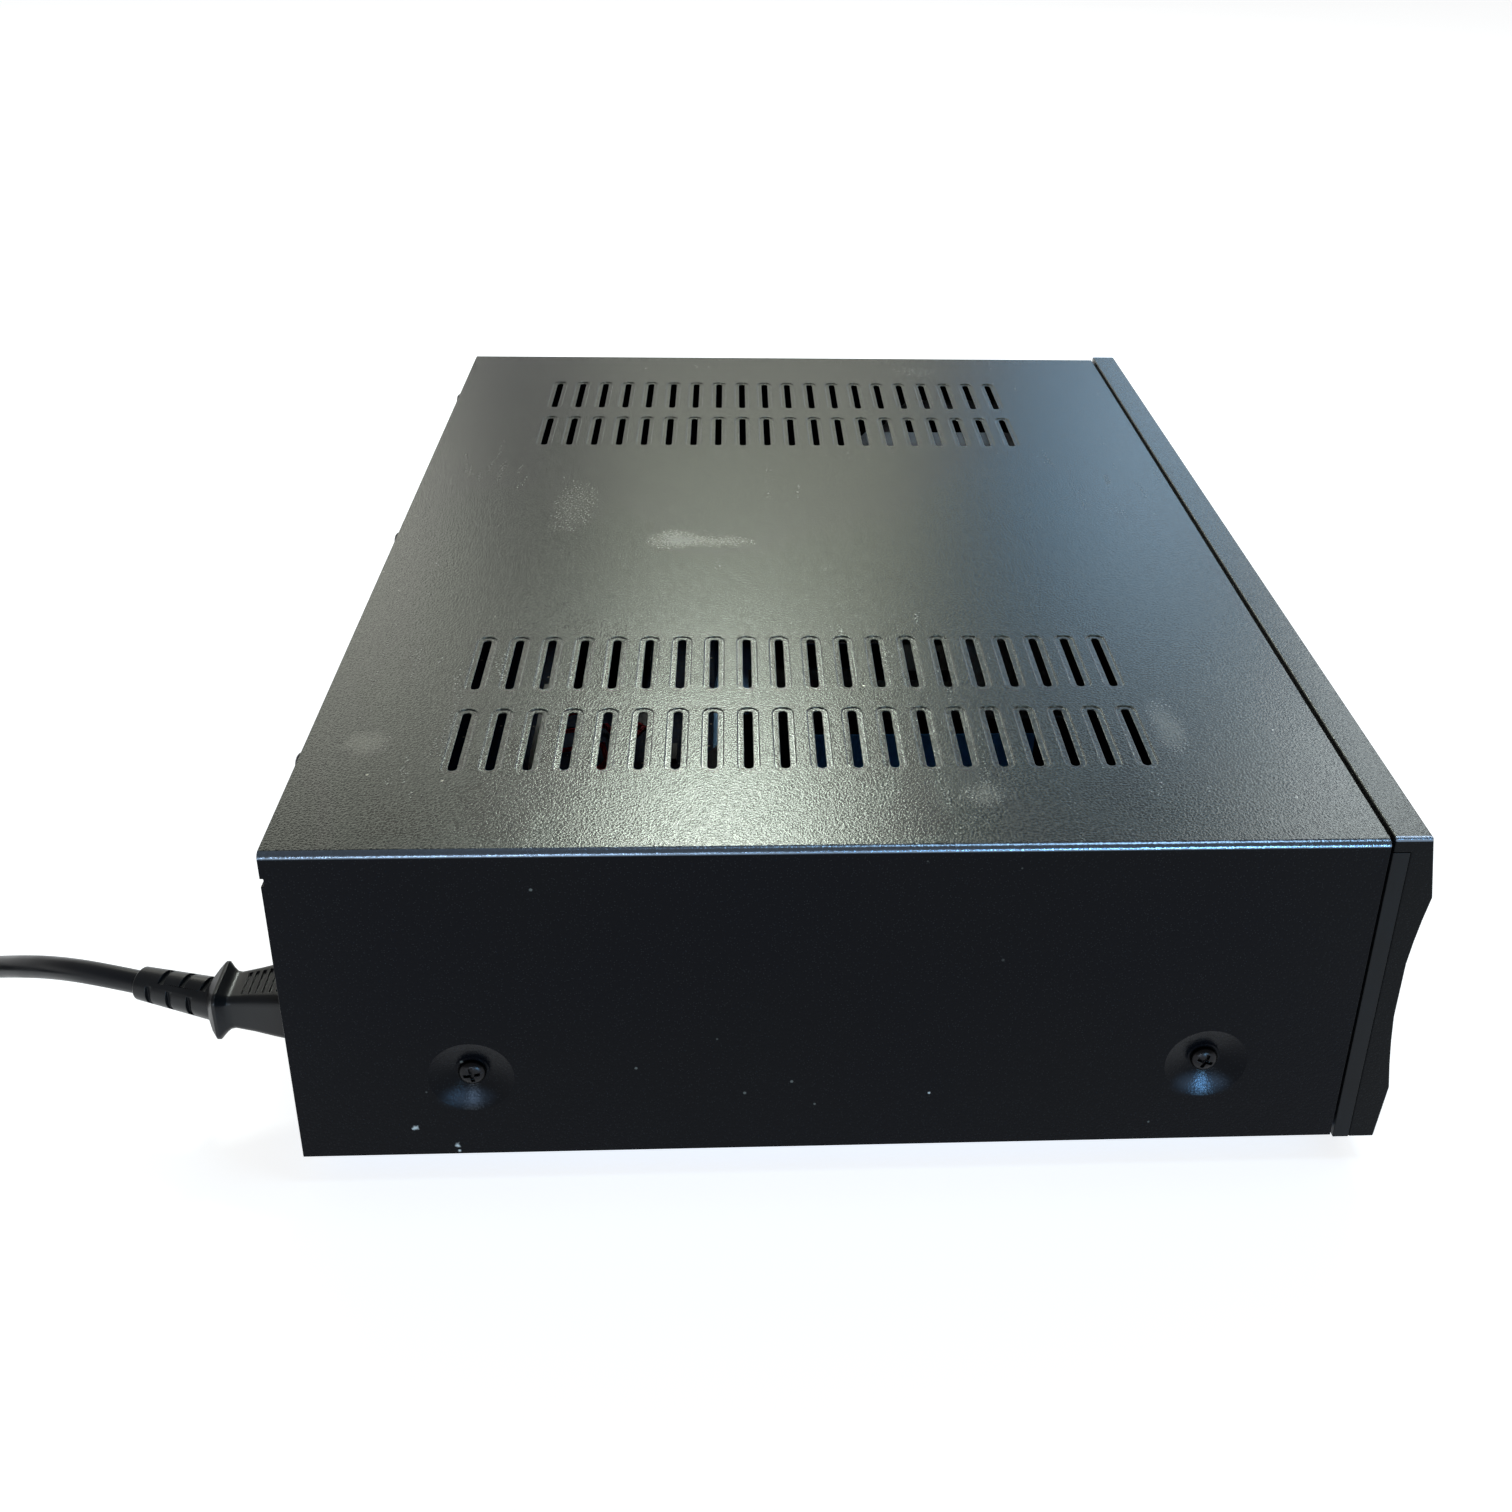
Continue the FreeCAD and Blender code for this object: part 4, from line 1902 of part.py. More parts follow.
def arc_through(start, corner, end):
    """Arc from start to end whose tangents meet at the corner."""
    back = (start - corner).normalize()
    ahead = (end - corner).normalize()
    half = back.getAngle(ahead) / 2
    reach = (start - corner).Length
    radius = reach * math.tan(half)
    middle = corner + (back + ahead).normalize() * (reach / math.cos(half) - radius)
    return Part.Arc(start, middle, end).toShape()


def coil_stations():
    """Points and headings at each half turn: in along the lower layer, out along the upper."""
    end = Vector(*CORD_POINTS[-1])
    way = end - Vector(*CORD_POINTS[-2])
    way.z = 0
    way.normalize()
    side = Vector(-way.y, way.x, 0)
    step = COIL_PITCH / 2
    outer = COIL_MIDDLE_RADIUS + step * COIL_HALF_TURNS / 2
    radii = [outer - step * i for i in range(COIL_HALF_TURNS + 1)]
    radii += radii[::-1][:-1] + [COIL_EXIT_RADIUS]
    lower = COIL_HALF_TURNS + 1
    heights = [0] * lower + [COIL_RISE] * (len(radii) - lower)
    straight_end = end + way * CORD_DIAMETER
    centre = straight_end + side * outer
    stations = []
    for i, (radius, rise) in enumerate(zip(radii, heights)):
        sign = -1 if i % 2 == 0 else 1
        point = centre + side * (sign * radius) + Vector(0, 0, rise)
        stations.append((point, way * -sign))
    return end, stations


def cord_coil():
    """The put-away length: one tube wound in two layers, with straight ends."""
    end, stations = coil_stations()
    edges = [Part.LineSegment(end, stations[0][0]).toShape()]
    for (a, heading), (b, final) in zip(stations, stations[1:]):
        edges += half_turn(a, heading, b, final)
    last, way = stations[-1]
    edges.append(Part.LineSegment(last, last + way * CORD_DIAMETER).toShape())
    path = Part.Wire(edges)
    section = many_sided(end, stations[0][0] - end, CORD_RADIUS, COIL_SIDES)
    solid = path.makePipeShell([section], True, False)
    area = COIL_SIDES * CORD_RADIUS**2 * math.tan(math.pi / COIL_SIDES)
    print("coil volume", round(solid.Volume, 1), "section by length", round(area * path.Length, 1))
    print("coil length", round(path.Length, 1), "least self gap", round(self_gap(path), 2))
    return solid


def self_gap(path):
    """Least distance between turns of the coil, less its diameter, measured on points."""
    step = 3.0
    count = int(path.Length / step)
    points = path.discretize(Number=count)
    skip = int(4 * CORD_DIAMETER / step)
    least = min(
        (points[i] - points[j]).Length for i in range(count) for j in range(i + skip, count)
    )
    return least - CORD_DIAMETER


def plug_frame():
    """Where the coil's end meets the plug, and the way it points."""
    last, way = coil_stations()[1][-1]
    return last + way * CORD_DIAMETER, way


def mains_plug():
    """Moulded three-pin plug lying beside the coil, cable entry first."""
    relief = taper(RELIEF_RADII[::-1], (0, 0, 0), (0, 1, 0), 12, SMALL_SIDES)
    half = COIL_RISE + CORD_RADIUS
    sections = (
        (12, 8.0, 7.5, 5.0),
        (20, 11.5, half, 6.0),
        (36, 12.5, half, 5.0),
        (38, 12.0, half - 0.8, 4.5),
    )
    body = skinned([rounded_outline(0, 0, w, h, c, y) for y, w, h, c in sections])
    blades = [block((x - 0.75, x + 0.75), (37, 54), (-6.2, 0)) for x in (-6.3, 6.3)]
    earth = rod(2.4, (0, 37, 5.5), (0, 1, 0), 20, SMALL_SIDES)
    plug = joined([relief, body, earth] + blades)
    place, way = plug_frame()
    turn = math.degrees(math.atan2(-way.x, way.y))
    plug.rotate(Vector(0, 0, 0), Vector(0, 0, 1), turn)
    plug.translate(place)
    return plug


def main():
    """Builds every node and writes its file."""
    os.makedirs("parts", exist_ok=True)
    save("top_cover", top_cover())
    save("chassis_pan", chassis_pan())
    save("chassis_front", chassis_front())
    save("rear_panel", rear_panel())
    save("front_fascia", front_fascia())
    save("front_frame", front_frame())
    save("display_window", display_window())
    save("display_module", display_module())
    save("front_board", front_board())
    save("tact_switches", *tact_switches())
    save("power_button", round_button(POWER_BUTTON))
    save("play_button", round_button(PLAY_BUTTON))
    save("stop_button", round_button(STOP_BUTTON))
    save("open_button", open_button())
    for end, y in (("front", FOOT_FRONT), ("rear", FOOT_REAR)):
        for side, x in (("left", -FOOT_X), ("right", FOOT_X)):
            save("foot_" + end + "_" + side, *foot(x, y))
    save("cover_screws", *cover_screws())
    save("loader_bracket_right", bracket())
    save("loader_bracket_left", mirrored(bracket()))
    save("loader_frame", loader_frame())
    save("disc_tray", disc_tray())
    save("tray_door", tray_door())
    save("tray_gear", tray_gear())
    save("pulley_gear", pulley_gear())
    save("motor_pulley", motor_pulley())
    save("drive_belt", drive_belt())
    save("loading_motor", loading_motor())
    save("cam_slider", cam_slider())
    save("traverse_frame", traverse_frame())
    save("guide_rods", *guide_rods())
    save("sled_motor", sled_motor())
    save("lead_screw", lead_screw())
    save("pickup_sled", pickup_sled())
    save("pickup_lens", pickup_lens())
    save("spindle_motor", spindle_motor())
    save("turntable", turntable())
    save("clamp_bridge", clamp_bridge())
    save("clamp_puck", clamp_puck())
    save("power_board", power_board())
    save("power_transformer", power_transformer())
    save("power_capacitors", *power_capacitors())
    save("power_heatsink", power_heatsink())
    save("main_board", main_board())
    save("main_heatsink", main_heatsink())
    save("main_chips", *main_chips())
    save("board_connectors", *board_connectors())
    save("wire_harness", *wire_harness())
    save("flat_cables", *flat_cables())
    save("mains_inlet", mains_inlet())
    save("phono_jacks", phono_jacks())
    save("hdmi_socket", hdmi_socket())
    save("network_socket", network_socket())
    save("fan_frame", fan_frame())
    save("fan_rotor", fan_rotor())
    save("cord_connector", cord_connector())
    save("mains_cord", mains_cord())
    save("cord_coil", cord_coil())
    save("mains_plug", mains_plug())


main()
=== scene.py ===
import json
import logging
import math
from collections.abc import Callable, Mapping, Sequence
from dataclasses import dataclass
from enum import Enum

import bmesh
import bpy
from mathutils import Matrix, Vector

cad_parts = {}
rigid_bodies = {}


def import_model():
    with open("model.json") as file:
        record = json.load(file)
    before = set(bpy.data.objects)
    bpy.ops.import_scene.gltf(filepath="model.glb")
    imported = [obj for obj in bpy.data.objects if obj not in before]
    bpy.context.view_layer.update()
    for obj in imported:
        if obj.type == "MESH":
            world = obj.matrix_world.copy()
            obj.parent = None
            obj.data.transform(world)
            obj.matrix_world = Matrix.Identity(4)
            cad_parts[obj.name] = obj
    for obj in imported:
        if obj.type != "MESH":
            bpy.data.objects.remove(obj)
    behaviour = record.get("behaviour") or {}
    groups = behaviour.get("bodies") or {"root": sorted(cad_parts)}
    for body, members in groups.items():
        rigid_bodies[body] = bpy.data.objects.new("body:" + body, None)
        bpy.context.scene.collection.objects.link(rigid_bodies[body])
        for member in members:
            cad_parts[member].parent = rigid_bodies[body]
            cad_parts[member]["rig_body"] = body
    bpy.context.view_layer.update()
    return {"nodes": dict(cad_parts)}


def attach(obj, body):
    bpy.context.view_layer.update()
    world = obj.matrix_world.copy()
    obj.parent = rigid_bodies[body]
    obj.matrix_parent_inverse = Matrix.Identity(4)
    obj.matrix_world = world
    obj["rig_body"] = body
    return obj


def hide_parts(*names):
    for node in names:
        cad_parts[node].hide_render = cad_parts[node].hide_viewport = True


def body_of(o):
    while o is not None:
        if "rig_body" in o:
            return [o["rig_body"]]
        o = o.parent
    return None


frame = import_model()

log = logging.getLogger("disc_player")

# Millimetres from the seam between front panel and cover to the frame's origin
SEAM_Y = -155.35

Pair = tuple[float, float]
Triple = tuple[float, float, float]
Colour = Triple
Object = bpy.types.Object

CASING = "casing"
SIDES = (-1, 1)

# Sizes that several sub-assemblies share, in millimetres
HALF_WIDTH = 217.5
COVER_TOP = 122.0
COVER_DEPTH = 318.0
UNDERSIDE = 10.8
SHEET = 1.0
REAR_FACE = 316.9
CORD_DIAMETER = 7.5
INLET_X = -173.0
INLET_Z = 34.4
COLLAR_Y = 351.5
RELIEF_LENGTH = 22.0
SLEEVE_LENGTH = 29.0
RELIEF_TURN = math.radians(18.0)
DISH_PLACES = (44.0, 265.5)
DISH_HEIGHT = 41.0
REAR_SCREWS = (-163.0, 0.0, 163.0)
REAR_SCREW_HEIGHT = 116.0
SLOT_FIRST = 61.16
SLOT_PITCH = 11.07
SLOT_COUNT = 20

# Slack in metres when an edge is found by its height
EDGE_SLACK = 1e-5


class Axis(Enum):
    """Directions along the frame's axes."""

    X = (1.0, 0.0, 0.0)
    Y = (0.0, 1.0, 0.0)
    Z = (0.0, 0.0, 1.0)

    @property
    def vector(self) -> Vector:
        """Returns the direction as a vector."""
        return Vector(self.value)


class Cut(str, Enum):
    """Ways of combining two solids."""

    AWAY = "DIFFERENCE"
    TOGETHER = "UNION"


def at(x: float, y: float, z: float) -> Vector:
    """Returns a point of the frame from millimetres across, behind the seam and up."""
    return Vector((x, y + SEAM_Y, z)) / 1000


def mm(*sizes: float) -> Vector:
    """Returns a length or a direction in metres from millimetres."""
    return Vector(sizes) / 1000


# Meshes


class Shape:
    """A mesh that is built with bmesh operators, in the frame's metres."""

    def __init__(self) -> None:
        """Starts with an empty mesh."""
        self.mesh = bmesh.new()

    def block(self, low: Sequence[float], high: Sequence[float]) -> "Shape":
        """Adds a box between two corners.

        Args:
            low: First corner, in millimetres.
            high: Opposite corner.

        Returns:
            The shape itself.
        """
        first, last = at(*low), at(*high)
        made = bmesh.ops.create_cube(self.mesh, size=1)["verts"]
        bmesh.ops.scale(self.mesh, vec=last - first, verts=made)
        bmesh.ops.translate(self.mesh, vec=(first + last) / 2, verts=made)
        return self

    def cone(
        self, radii: Pair, start: Vector, way: Vector, length: float, sides: int
    ) -> "Shape":
        """Adds a cone or cylinder.

        Args:
            radii: Radius at the start and at the end, in millimetres.
            start: Middle of the first end, in the frame.
            way: Direction of the axis.
            length: Length in millimetres.
            sides: Number of flats.

        Returns:
            The shape itself.
        """
        turn = way.to_track_quat("Z", "Y").to_matrix().to_4x4()
        middle = Matrix.Translation(start + way.normalized() * (length / 2000))
        first, last = (radius / 1000 for radius in radii)
        sizes = {"radius1": first, "radius2": last, "depth": length / 1000, "segments": sides}
        bmesh.ops.create_cone(self.mesh, cap_ends=True, matrix=middle @ turn, **sizes)
        return self

    def prism(self, outline: Sequence[Vector], along: Vector) -> "Shape":
        """Adds a flat outline carried along a direction.

        Args:
            outline: Corners of one flat end.
            along: Way from it to the other end.

        Returns:
            The shape itself.
        """
        corners = [self.mesh.verts.new(point) for point in outline]
        face = self.mesh.faces.new(corners)
        made = bmesh.ops.extrude_face_region(self.mesh, geom=[face])["geom"]
        moved = [item for item in made if isinstance(item, bmesh.types.BMVert)]
        bmesh.ops.translate(self.mesh, vec=along, verts=moved)
        return self

    def turned(
        self, profile: Sequence[Pair], centre: Vector, way: Vector, steps: int
    ) -> "Shape":
        """Adds a turned form.

        Args:
            profile: Pairs of radius and distance along the axis, in millimetres.
            centre: Point on the axis from which the distances count.
            way: Direction of the axis.
            steps: Number of facets round the axis.

        Returns:
            The shape itself.
        """
        axis = way.normalized()
        side = axis.orthogonal().normalized()
        made = [
            self.mesh.verts.new(centre + side * (reach / 1000) + axis * (height / 1000))
            for reach, height in profile
        ]
        edges = [self.mesh.edges.new(pair) for pair in zip(made, made[1:])]
        whole = {"cent": centre, "axis": axis, "angle": 2 * math.pi, "steps": steps}
        bmesh.ops.spin(self.mesh, geom=made + edges, use_merge=True, **whole)
        return self.sealed()

    def lofted(self, outlines: Sequence[Sequence[Vector]]) -> "Shape":
        """Adds a closed skin through outlines.

        Args:
            outlines: Closed outlines with equal counts of points.

        Returns:
            The shape itself.
        """
        loops = []
        for outline in outlines:
            made = [self.mesh.verts.new(point) for point in outline]
            loops.append([self.mesh.edges.new((a, b)) for a, b in zip(made, made[1:] + made[:1])])
        for near, far in zip(loops, loops[1:]):
            bmesh.ops.bridge_loops(self.mesh, edges=near + far)
        for loop in (loops[0], loops[-1]):
            bmesh.ops.contextual_create(self.mesh, geom=loop)
        return self.sealed()

    def rounded(
        self, width: float, segments: int, where: Callable[[Vector, Vector], bool]
    ) -> "Shape":
        """Rounds some edges.

        Args:
            width: Size of the bevel in millimetres.
            segments: Steps across the bevel.
            where: Test of an edge's two ends, given in the frame.

        Returns:
            The shape itself.
        """
        edges = [e for e in self.mesh.edges if where(e.verts[0].co, e.verts[1].co)]
        form = {"offset": width / 1000, "segments": segments, "profile": 0.5, "material": -1}
        bmesh.ops.bevel(self.mesh, geom=edges, affect="EDGES", **form)
        return self

    def sealed(self) -> "Shape":
        """Merges coincident points, turns the faces outwards and returns the shape."""
        bmesh.ops.remove_doubles(self.mesh, verts=self.mesh.verts, dist=1e-6)
        bmesh.ops.recalc_face_normals(self.mesh, faces=self.mesh.faces)
        return self

    def object(self, name: str) -> Object:
        """Puts the shape into the scene and frees the builder.

        Args:
            name: Name of the object and its mesh.

        Returns:
            The new object.
        """
        data = bpy.data.meshes.new(name)
        self.sealed().mesh.to_mesh(data)
        self.mesh.free()
        return placed(name, data)


def placed(name: str, data: bpy.types.ID) -> Object:
    """Adds an object to the scene.

    Args:
        name: The object's name.
        data: Mesh, curve, lamp or camera.

    Returns:
        The new object.
    """
    made = bpy.data.objects.new(name, data)
    bpy.context.scene.collection.objects.link(made)
    return made


def stadium(x: float, y: float, z: float, length: float, width: float, steps: int) -> list[Vector]:
    """Returns a slot's outline, round at both ends.

    Args:
        x: Middle across, in millimetres.
        y: Middle behind the seam.
        z: Height.
        length: Whole length across.
        width: Whole width.
        steps: Facets of each end.

    Returns:
        Its corners in the frame.
    """
    straight = (length - width) / 2
    points = []
    for end in (1, -1):
        for step in range(steps + 1):
            angle = math.pi * (step / steps - 0.5)
            dx = straight + math.cos(angle) * width / 2
            points.append(at(x + end * dx, y + end * math.sin(angle) * width / 2, z))
    return points


def rounded_box(
    centre: Vector, right: Vector, up: Vector, half: Pair, corner: float, steps: int
) -> list[Vector]:
    """Returns a rectangle's outline with rounded corners.

    Args:
        centre: Its middle, in the frame.
        right: Unit direction of its width.
        up: Unit direction of its height.
        half: Half width and half height in millimetres.
        corner: Corner radius in millimetres.
        steps: Facets of each corner.

    Returns:
        Its corners in order.
    """
    points = []
    for i, (sx, sz) in enumerate(((1, 1), (-1, 1), (-1, -1), (1, -1))):
        for step in range(steps + 1):
            angle = math.pi / 2 * (i + step / steps)
            a = sx * (half[0] - corner) + corner * math.cos(angle)
            b = sz * (half[1] - corner) + corner * math.sin(angle)
            points.append(centre + right * (a / 1000) + up * (b / 1000))
    return points


def rectangle(middle: Vector, right: Vector, up: Vector, half: Pair) -> list[Vector]:
    """Returns a rectangle's corners about its middle, its half sizes in millimetres."""
    corners = ((-1, -1), (1, -1), (1, 1), (-1, 1))
    return [middle + right * (a * half[0] / 1000) + up * (b * half[1] / 1000) for a, b in corners]


def combined(piece: Object, tool: Object, way: Cut, crossed: bool = False) -> None:
    """Combines a piece with a second solid, which is then removed.

    Args:
        piece: The piece that is kept.
        tool: The second solid.
        way: How the two are combined.
        crossed: Whether the tool's own parts cross each other.
    """
    change = piece.modifiers.new("combined", "BOOLEAN")
    change.operation = way.value
    change.solver = "EXACT"
    change.use_self = crossed
    change.object = tool
    settled(piece)
    bpy.data.objects.remove(tool, do_unlink=True)


def settled(piece: Object) -> None:
    """Makes a piece's modifiers part of its mesh.

    Args:
        piece: The piece.
    """
    graph = bpy.context.evaluated_depsgraph_get()
    data = bpy.data.meshes.new_from_object(piece.evaluated_get(graph))
    data.name = piece.name
    piece.modifiers.clear()
    piece.data = data


def softened(piece: Object, width: float, limit: float = 30.0, clamped: bool = False) -> None:
    """Rounds a piece's sharp edges and shades it smoothly.

    Args:
        piece: The piece.
        width: Width of the rounding in millimetres.
        limit: Least angle in degrees at which an edge is rounded.
        clamped: Whether roundings stop where they would cross.
    """
    bevel = piece.modifiers.new("edges", "BEVEL")
    bevel.width = width / 1000
    bevel.segments = 2
    bevel.limit_method = "ANGLE"
    bevel.angle_limit = math.radians(limit)
    bevel.use_clamp_overlap = clamped
    settled(piece)
    smoothed(piece)


def smoothed(piece: Object) -> None:
    """Shades a piece smoothly with its large faces kept flat.

    Args:
        piece: The piece.
    """
    piece.data.shade_smooth()
    weight = piece.modifiers.new("shading", "WEIGHTED_NORMAL")
    weight.keep_sharp = True
    weight.weight = 100
    settled(piece)


def dish_seats(lift: float) -> list[tuple[Vector, Vector]]:
    """Finds the places of the dishes.

    Args:
        lift: Distance outside the side's face, in millimetres.

    Returns:
        Each dish's middle and the way inwards.
    """
    return [
        (at(side * (HALF_WIDTH + lift), y, DISH_HEIGHT), Vector((-side, 0, 0)))
        for side in SIDES
        for y in DISH_PLACES
    ]


# Materials


def arithmetic(operation: str, swapped: bool = False) -> "Callable[[Value, Value], Value]":
    """Makes the method of one arithmetic sign.

    Args:
        operation: The node's operation.
        swapped: Whether the value stands behind the sign.

    Returns:
        A method for values.
    """

    def method(value: "Value", other: "Value | float") -> "Value":
        """Returns the result as a new value."""
        return value.math(operation, *((other, value) if swapped else (value, other)))

    return method


class Value:
    """A node's output that can be reckoned with."""

    def __init__(self, graph: "Graph", socket: bpy.types.NodeSocket) -> None:
        """Keeps the node tree and the output."""
        self.graph = graph
        self.socket = socket

    def math(
        self, operation: str, first: "Value | float", second: "Value | float" = 0.0
    ) -> "Value":
        """Returns the result of one arithmetic node."""
        return self.graph.value("ShaderNodeMath", {"operation": operation}, {0: first, 1: second})

    __add__, __radd__ = arithmetic("ADD"), arithmetic("ADD", True)
    __sub__, __rsub__ = arithmetic("SUBTRACT"), arithmetic("SUBTRACT", True)
    __mul__ = arithmetic("MULTIPLY")
    __truediv__ = arithmetic("DIVIDE")
    __pow__ = arithmetic("POWER")

    def size(self) -> "Value":
        """Returns the value without its sign."""
        return self.math("ABSOLUTE", self)

    def at_least(self, limit: "Value | float") -> "Value":
        """Returns the value, or the limit where that is more."""
        return self.math("MAXIMUM", self, limit)

    def above(self, limit: float) -> "Value":
        """Returns one where the value is over a limit, else nought."""
        return self.math("GREATER_THAN", self, limit)

    def fitted(
        self,
        low: float,
        high: float,
        to_low: float = 0.0,
        to_high: float = 1.0,
        blend: str = "SMOOTHSTEP",
    ) -> "Value":
        """Carries the value from one range to another.

        Args:
            low: Start of the range that is read.
            high: Its end.
            to_low: Result at the start.
            to_high: Result at the end.
            blend: Form of the way between.

        Returns:
            The value, kept inside its new range.
        """
        return self.graph.value(
            "ShaderNodeMapRange",
            {"clamp": True, "interpolation_type": blend},
            {"Value": self, "From Min": low, "From Max": high, "To Min": to_low, "To Max": to_high},
            "Result",
        )


Input = Value | float | Sequence[float]

# Range that holds most of a noise's values, and the detail and roughness of a fine one
SPAN = (0.3, 0.7)
FINE = (3.0, 0.6)

Settings = Mapping[str, object] | None
Inputs = Mapping[str | int, Input] | None


class Graph:
    """A node tree whose nodes are made from what goes into them."""

    def __init__(self, tree: bpy.types.NodeTree) -> None:
        """Takes over a tree and empties it."""
        self.tree = tree
        self.tree.nodes.clear()

    def node(
        self, kind: str, settings: Settings = None, inputs: Inputs = None
    ) -> bpy.types.Node:
        """Adds one node.

        Args:
            kind: The node's type.
            settings: Properties of the node by name.
            inputs: Constants or other nodes' values by input.

        Returns:
            The new node.
        """
        made = self.tree.nodes.new(kind)
        for name, setting in (settings or {}).items():
            setattr(made, name, setting)
        for name, value in (inputs or {}).items():
            if isinstance(value, Value):
                self.tree.links.new(value.socket, made.inputs[name])
            else:
                made.inputs[name].default_value = value
        return made

    def value(
        self, kind: str, settings: Settings = None, inputs: Inputs = None, output: str | int = 0
    ) -> Value:
        """Adds one node as node() does and returns one of its outputs."""
        return Value(self, self.node(kind, settings, inputs).outputs[output])

    def place(self, scale: Sequence[float] = (1.0, 1.0, 1.0)) -> Value:
        """Returns the point's position in metres, stretched by a factor along each axis."""
        point = self.value("ShaderNodeTexCoord", output="Object")
        return self.value("ShaderNodeMapping", {}, {"Vector": point, "Scale": scale})

    def millimetres(self) -> tuple[Value, Value, Value]:
        """Returns the three coordinates of the point's position, in millimetres."""
        return self.parts(self.place((1000.0, 1000.0, 1000.0)))

    def parts(self, vector: Value) -> tuple[Value, Value, Value]:
        """Returns the three coordinates of a vector."""
        made = self.node("ShaderNodeSeparateXYZ", {}, {0: vector})
        return tuple(Value(self, output) for output in made.outputs)

    def noise(self, vector: Value, scale: float, detail: float = 2.0, rough: float = 0.5) -> Value:
        """Returns a soft random pattern."""
        inputs = {"Vector": vector, "Scale": scale, "Detail": detail, "Roughness": rough}
        return self.value("ShaderNodeTexNoise", {}, inputs)

    def cells(
        self, vector: Value, scale: float, output: str = "Distance", **settings: object
    ) -> Value:
        """Returns a pattern of cells."""
        inputs = {"Vector": vector, "Scale": scale}
        return self.value("ShaderNodeTexVoronoi", settings, inputs, output)

    def mixed(self, share: Input, first: Input, second: Input) -> Value:
        """Returns a colour between two others."""
        inputs = {"Factor": share, 6: opaque(first), 7: opaque(second)}
        return self.value("ShaderNodeMix", {"data_type": "RGBA"}, inputs, 2)

    def bumped(self, height: Value, depth: float) -> Value:
        """Returns a surface direction changed by a height pattern of a depth in metres."""
        inputs = {"Height": height, "Distance": depth, "Strength": 1.0}
        return self.value("ShaderNodeBump", {}, inputs)


def opaque(colour: Input) -> Input:
    """Completes a colour for a socket.

    Args:
        colour: Colour or other input.

    Returns:
        The colour with its fourth part, or what was given.
    """
    if isinstance(colour, tuple) and len(colour) == 3:
        return (*colour, 1.0)
    return colour


def scaled(colour: Colour, factor: float) -> Colour:
    """Returns a colour made lighter or darker by a factor."""
    return tuple(part * factor for part in colour)


class Surface(Graph):
    """The node tree of one material, with its surface shader."""

    def __init__(self, name: str) -> None:
        """Makes a material with its surface shader.

        Args:
            name: The material's name.
        """
        self.material = bpy.data.materials.new(name)
        self.material.use_nodes = True
        super().__init__(self.material.node_tree)
        self.shader = self.node("ShaderNodeBsdfPrincipled")
        shaded = Value(self, self.shader.outputs[0])
        self.node("ShaderNodeOutputMaterial", {}, {"Surface": shaded})

    def shade(self, **inputs: Input) -> None:
        """Sets the surface shader's inputs.

        Args:
            **inputs: Inputs by name, with _ for a space.
        """
        for name, value in inputs.items():
            socket = self.shader.inputs[name.replace("_", " ")]
            if isinstance(value, Value):
                self.tree.links.new(value.socket, socket)
            else:
                socket.default_value = opaque(value)


@dataclass(frozen=True)
class Mark:
    """A spot for wear, soil and painted highlights: its middle and its reach along each axis, in
    millimetres.
    """

    middle: Triple
    reach: Triple
    strength: float = 1.0

    def mask(self, graph: Graph, ragged: Value) -> Value:
        """Makes the mark's mask.

        Args:
            graph: The material's node tree.
            ragged: Shift of the edge, as a share of the reach.

        Returns:
            The mark's strength inside it and nought outside.
        """
        point = graph.value("ShaderNodeTexCoord", output="Object")
        centred = graph.value(
            "ShaderNodeMapping",
            {"vector_type": "TEXTURE"},
            {"Vector": point, "Location": at(*self.middle), "Scale": mm(*self.reach)},
        )
        distance = graph.value(
            "ShaderNodeVectorMath", {"operation": "LENGTH"}, {0: centred}, "Value"
        )
        return (distance + ragged).fitted(0.2, 1.1, self.strength, 0.0)


def marked(graph: Graph, marks: Sequence[Mark], noise: Value, ragged: float) -> Value:
    """Makes the mask of several marks.

    Args:
        graph: The material's node tree.
        marks: The marks.
        noise: Pattern that breaks their edges.
        ragged: How far the edges wander.

    Returns:
        The sum of their masks.
    """
    loose = (noise - 0.5) * (2 * ragged)
    total = marks[0].mask(graph, loose)
    for mark in marks[1:]:
        total = total + mark.mask(graph, loose)
    return total


@dataclass(frozen=True)
class FoldHighlight:
    """A painted highlight along the bend of a long edge: its lowest height and least reach, in
    millimetres.
    """

    height: float
    reach: float
    soft: float = 0.5
    colour: Colour = (0.18, 0.23, 0.30)

    def mask(self, graph: Graph) -> Value:
        """Makes the mask of the edges.

        Args:
            graph: The material's node tree.

        Returns:
            One on both edges and nought elsewhere.
        """
        x, _, z = graph.millimetres()
        high = z.fitted(self.height, self.height + self.soft)
        return high * x.size().fitted(self.reach, self.reach + self.soft)


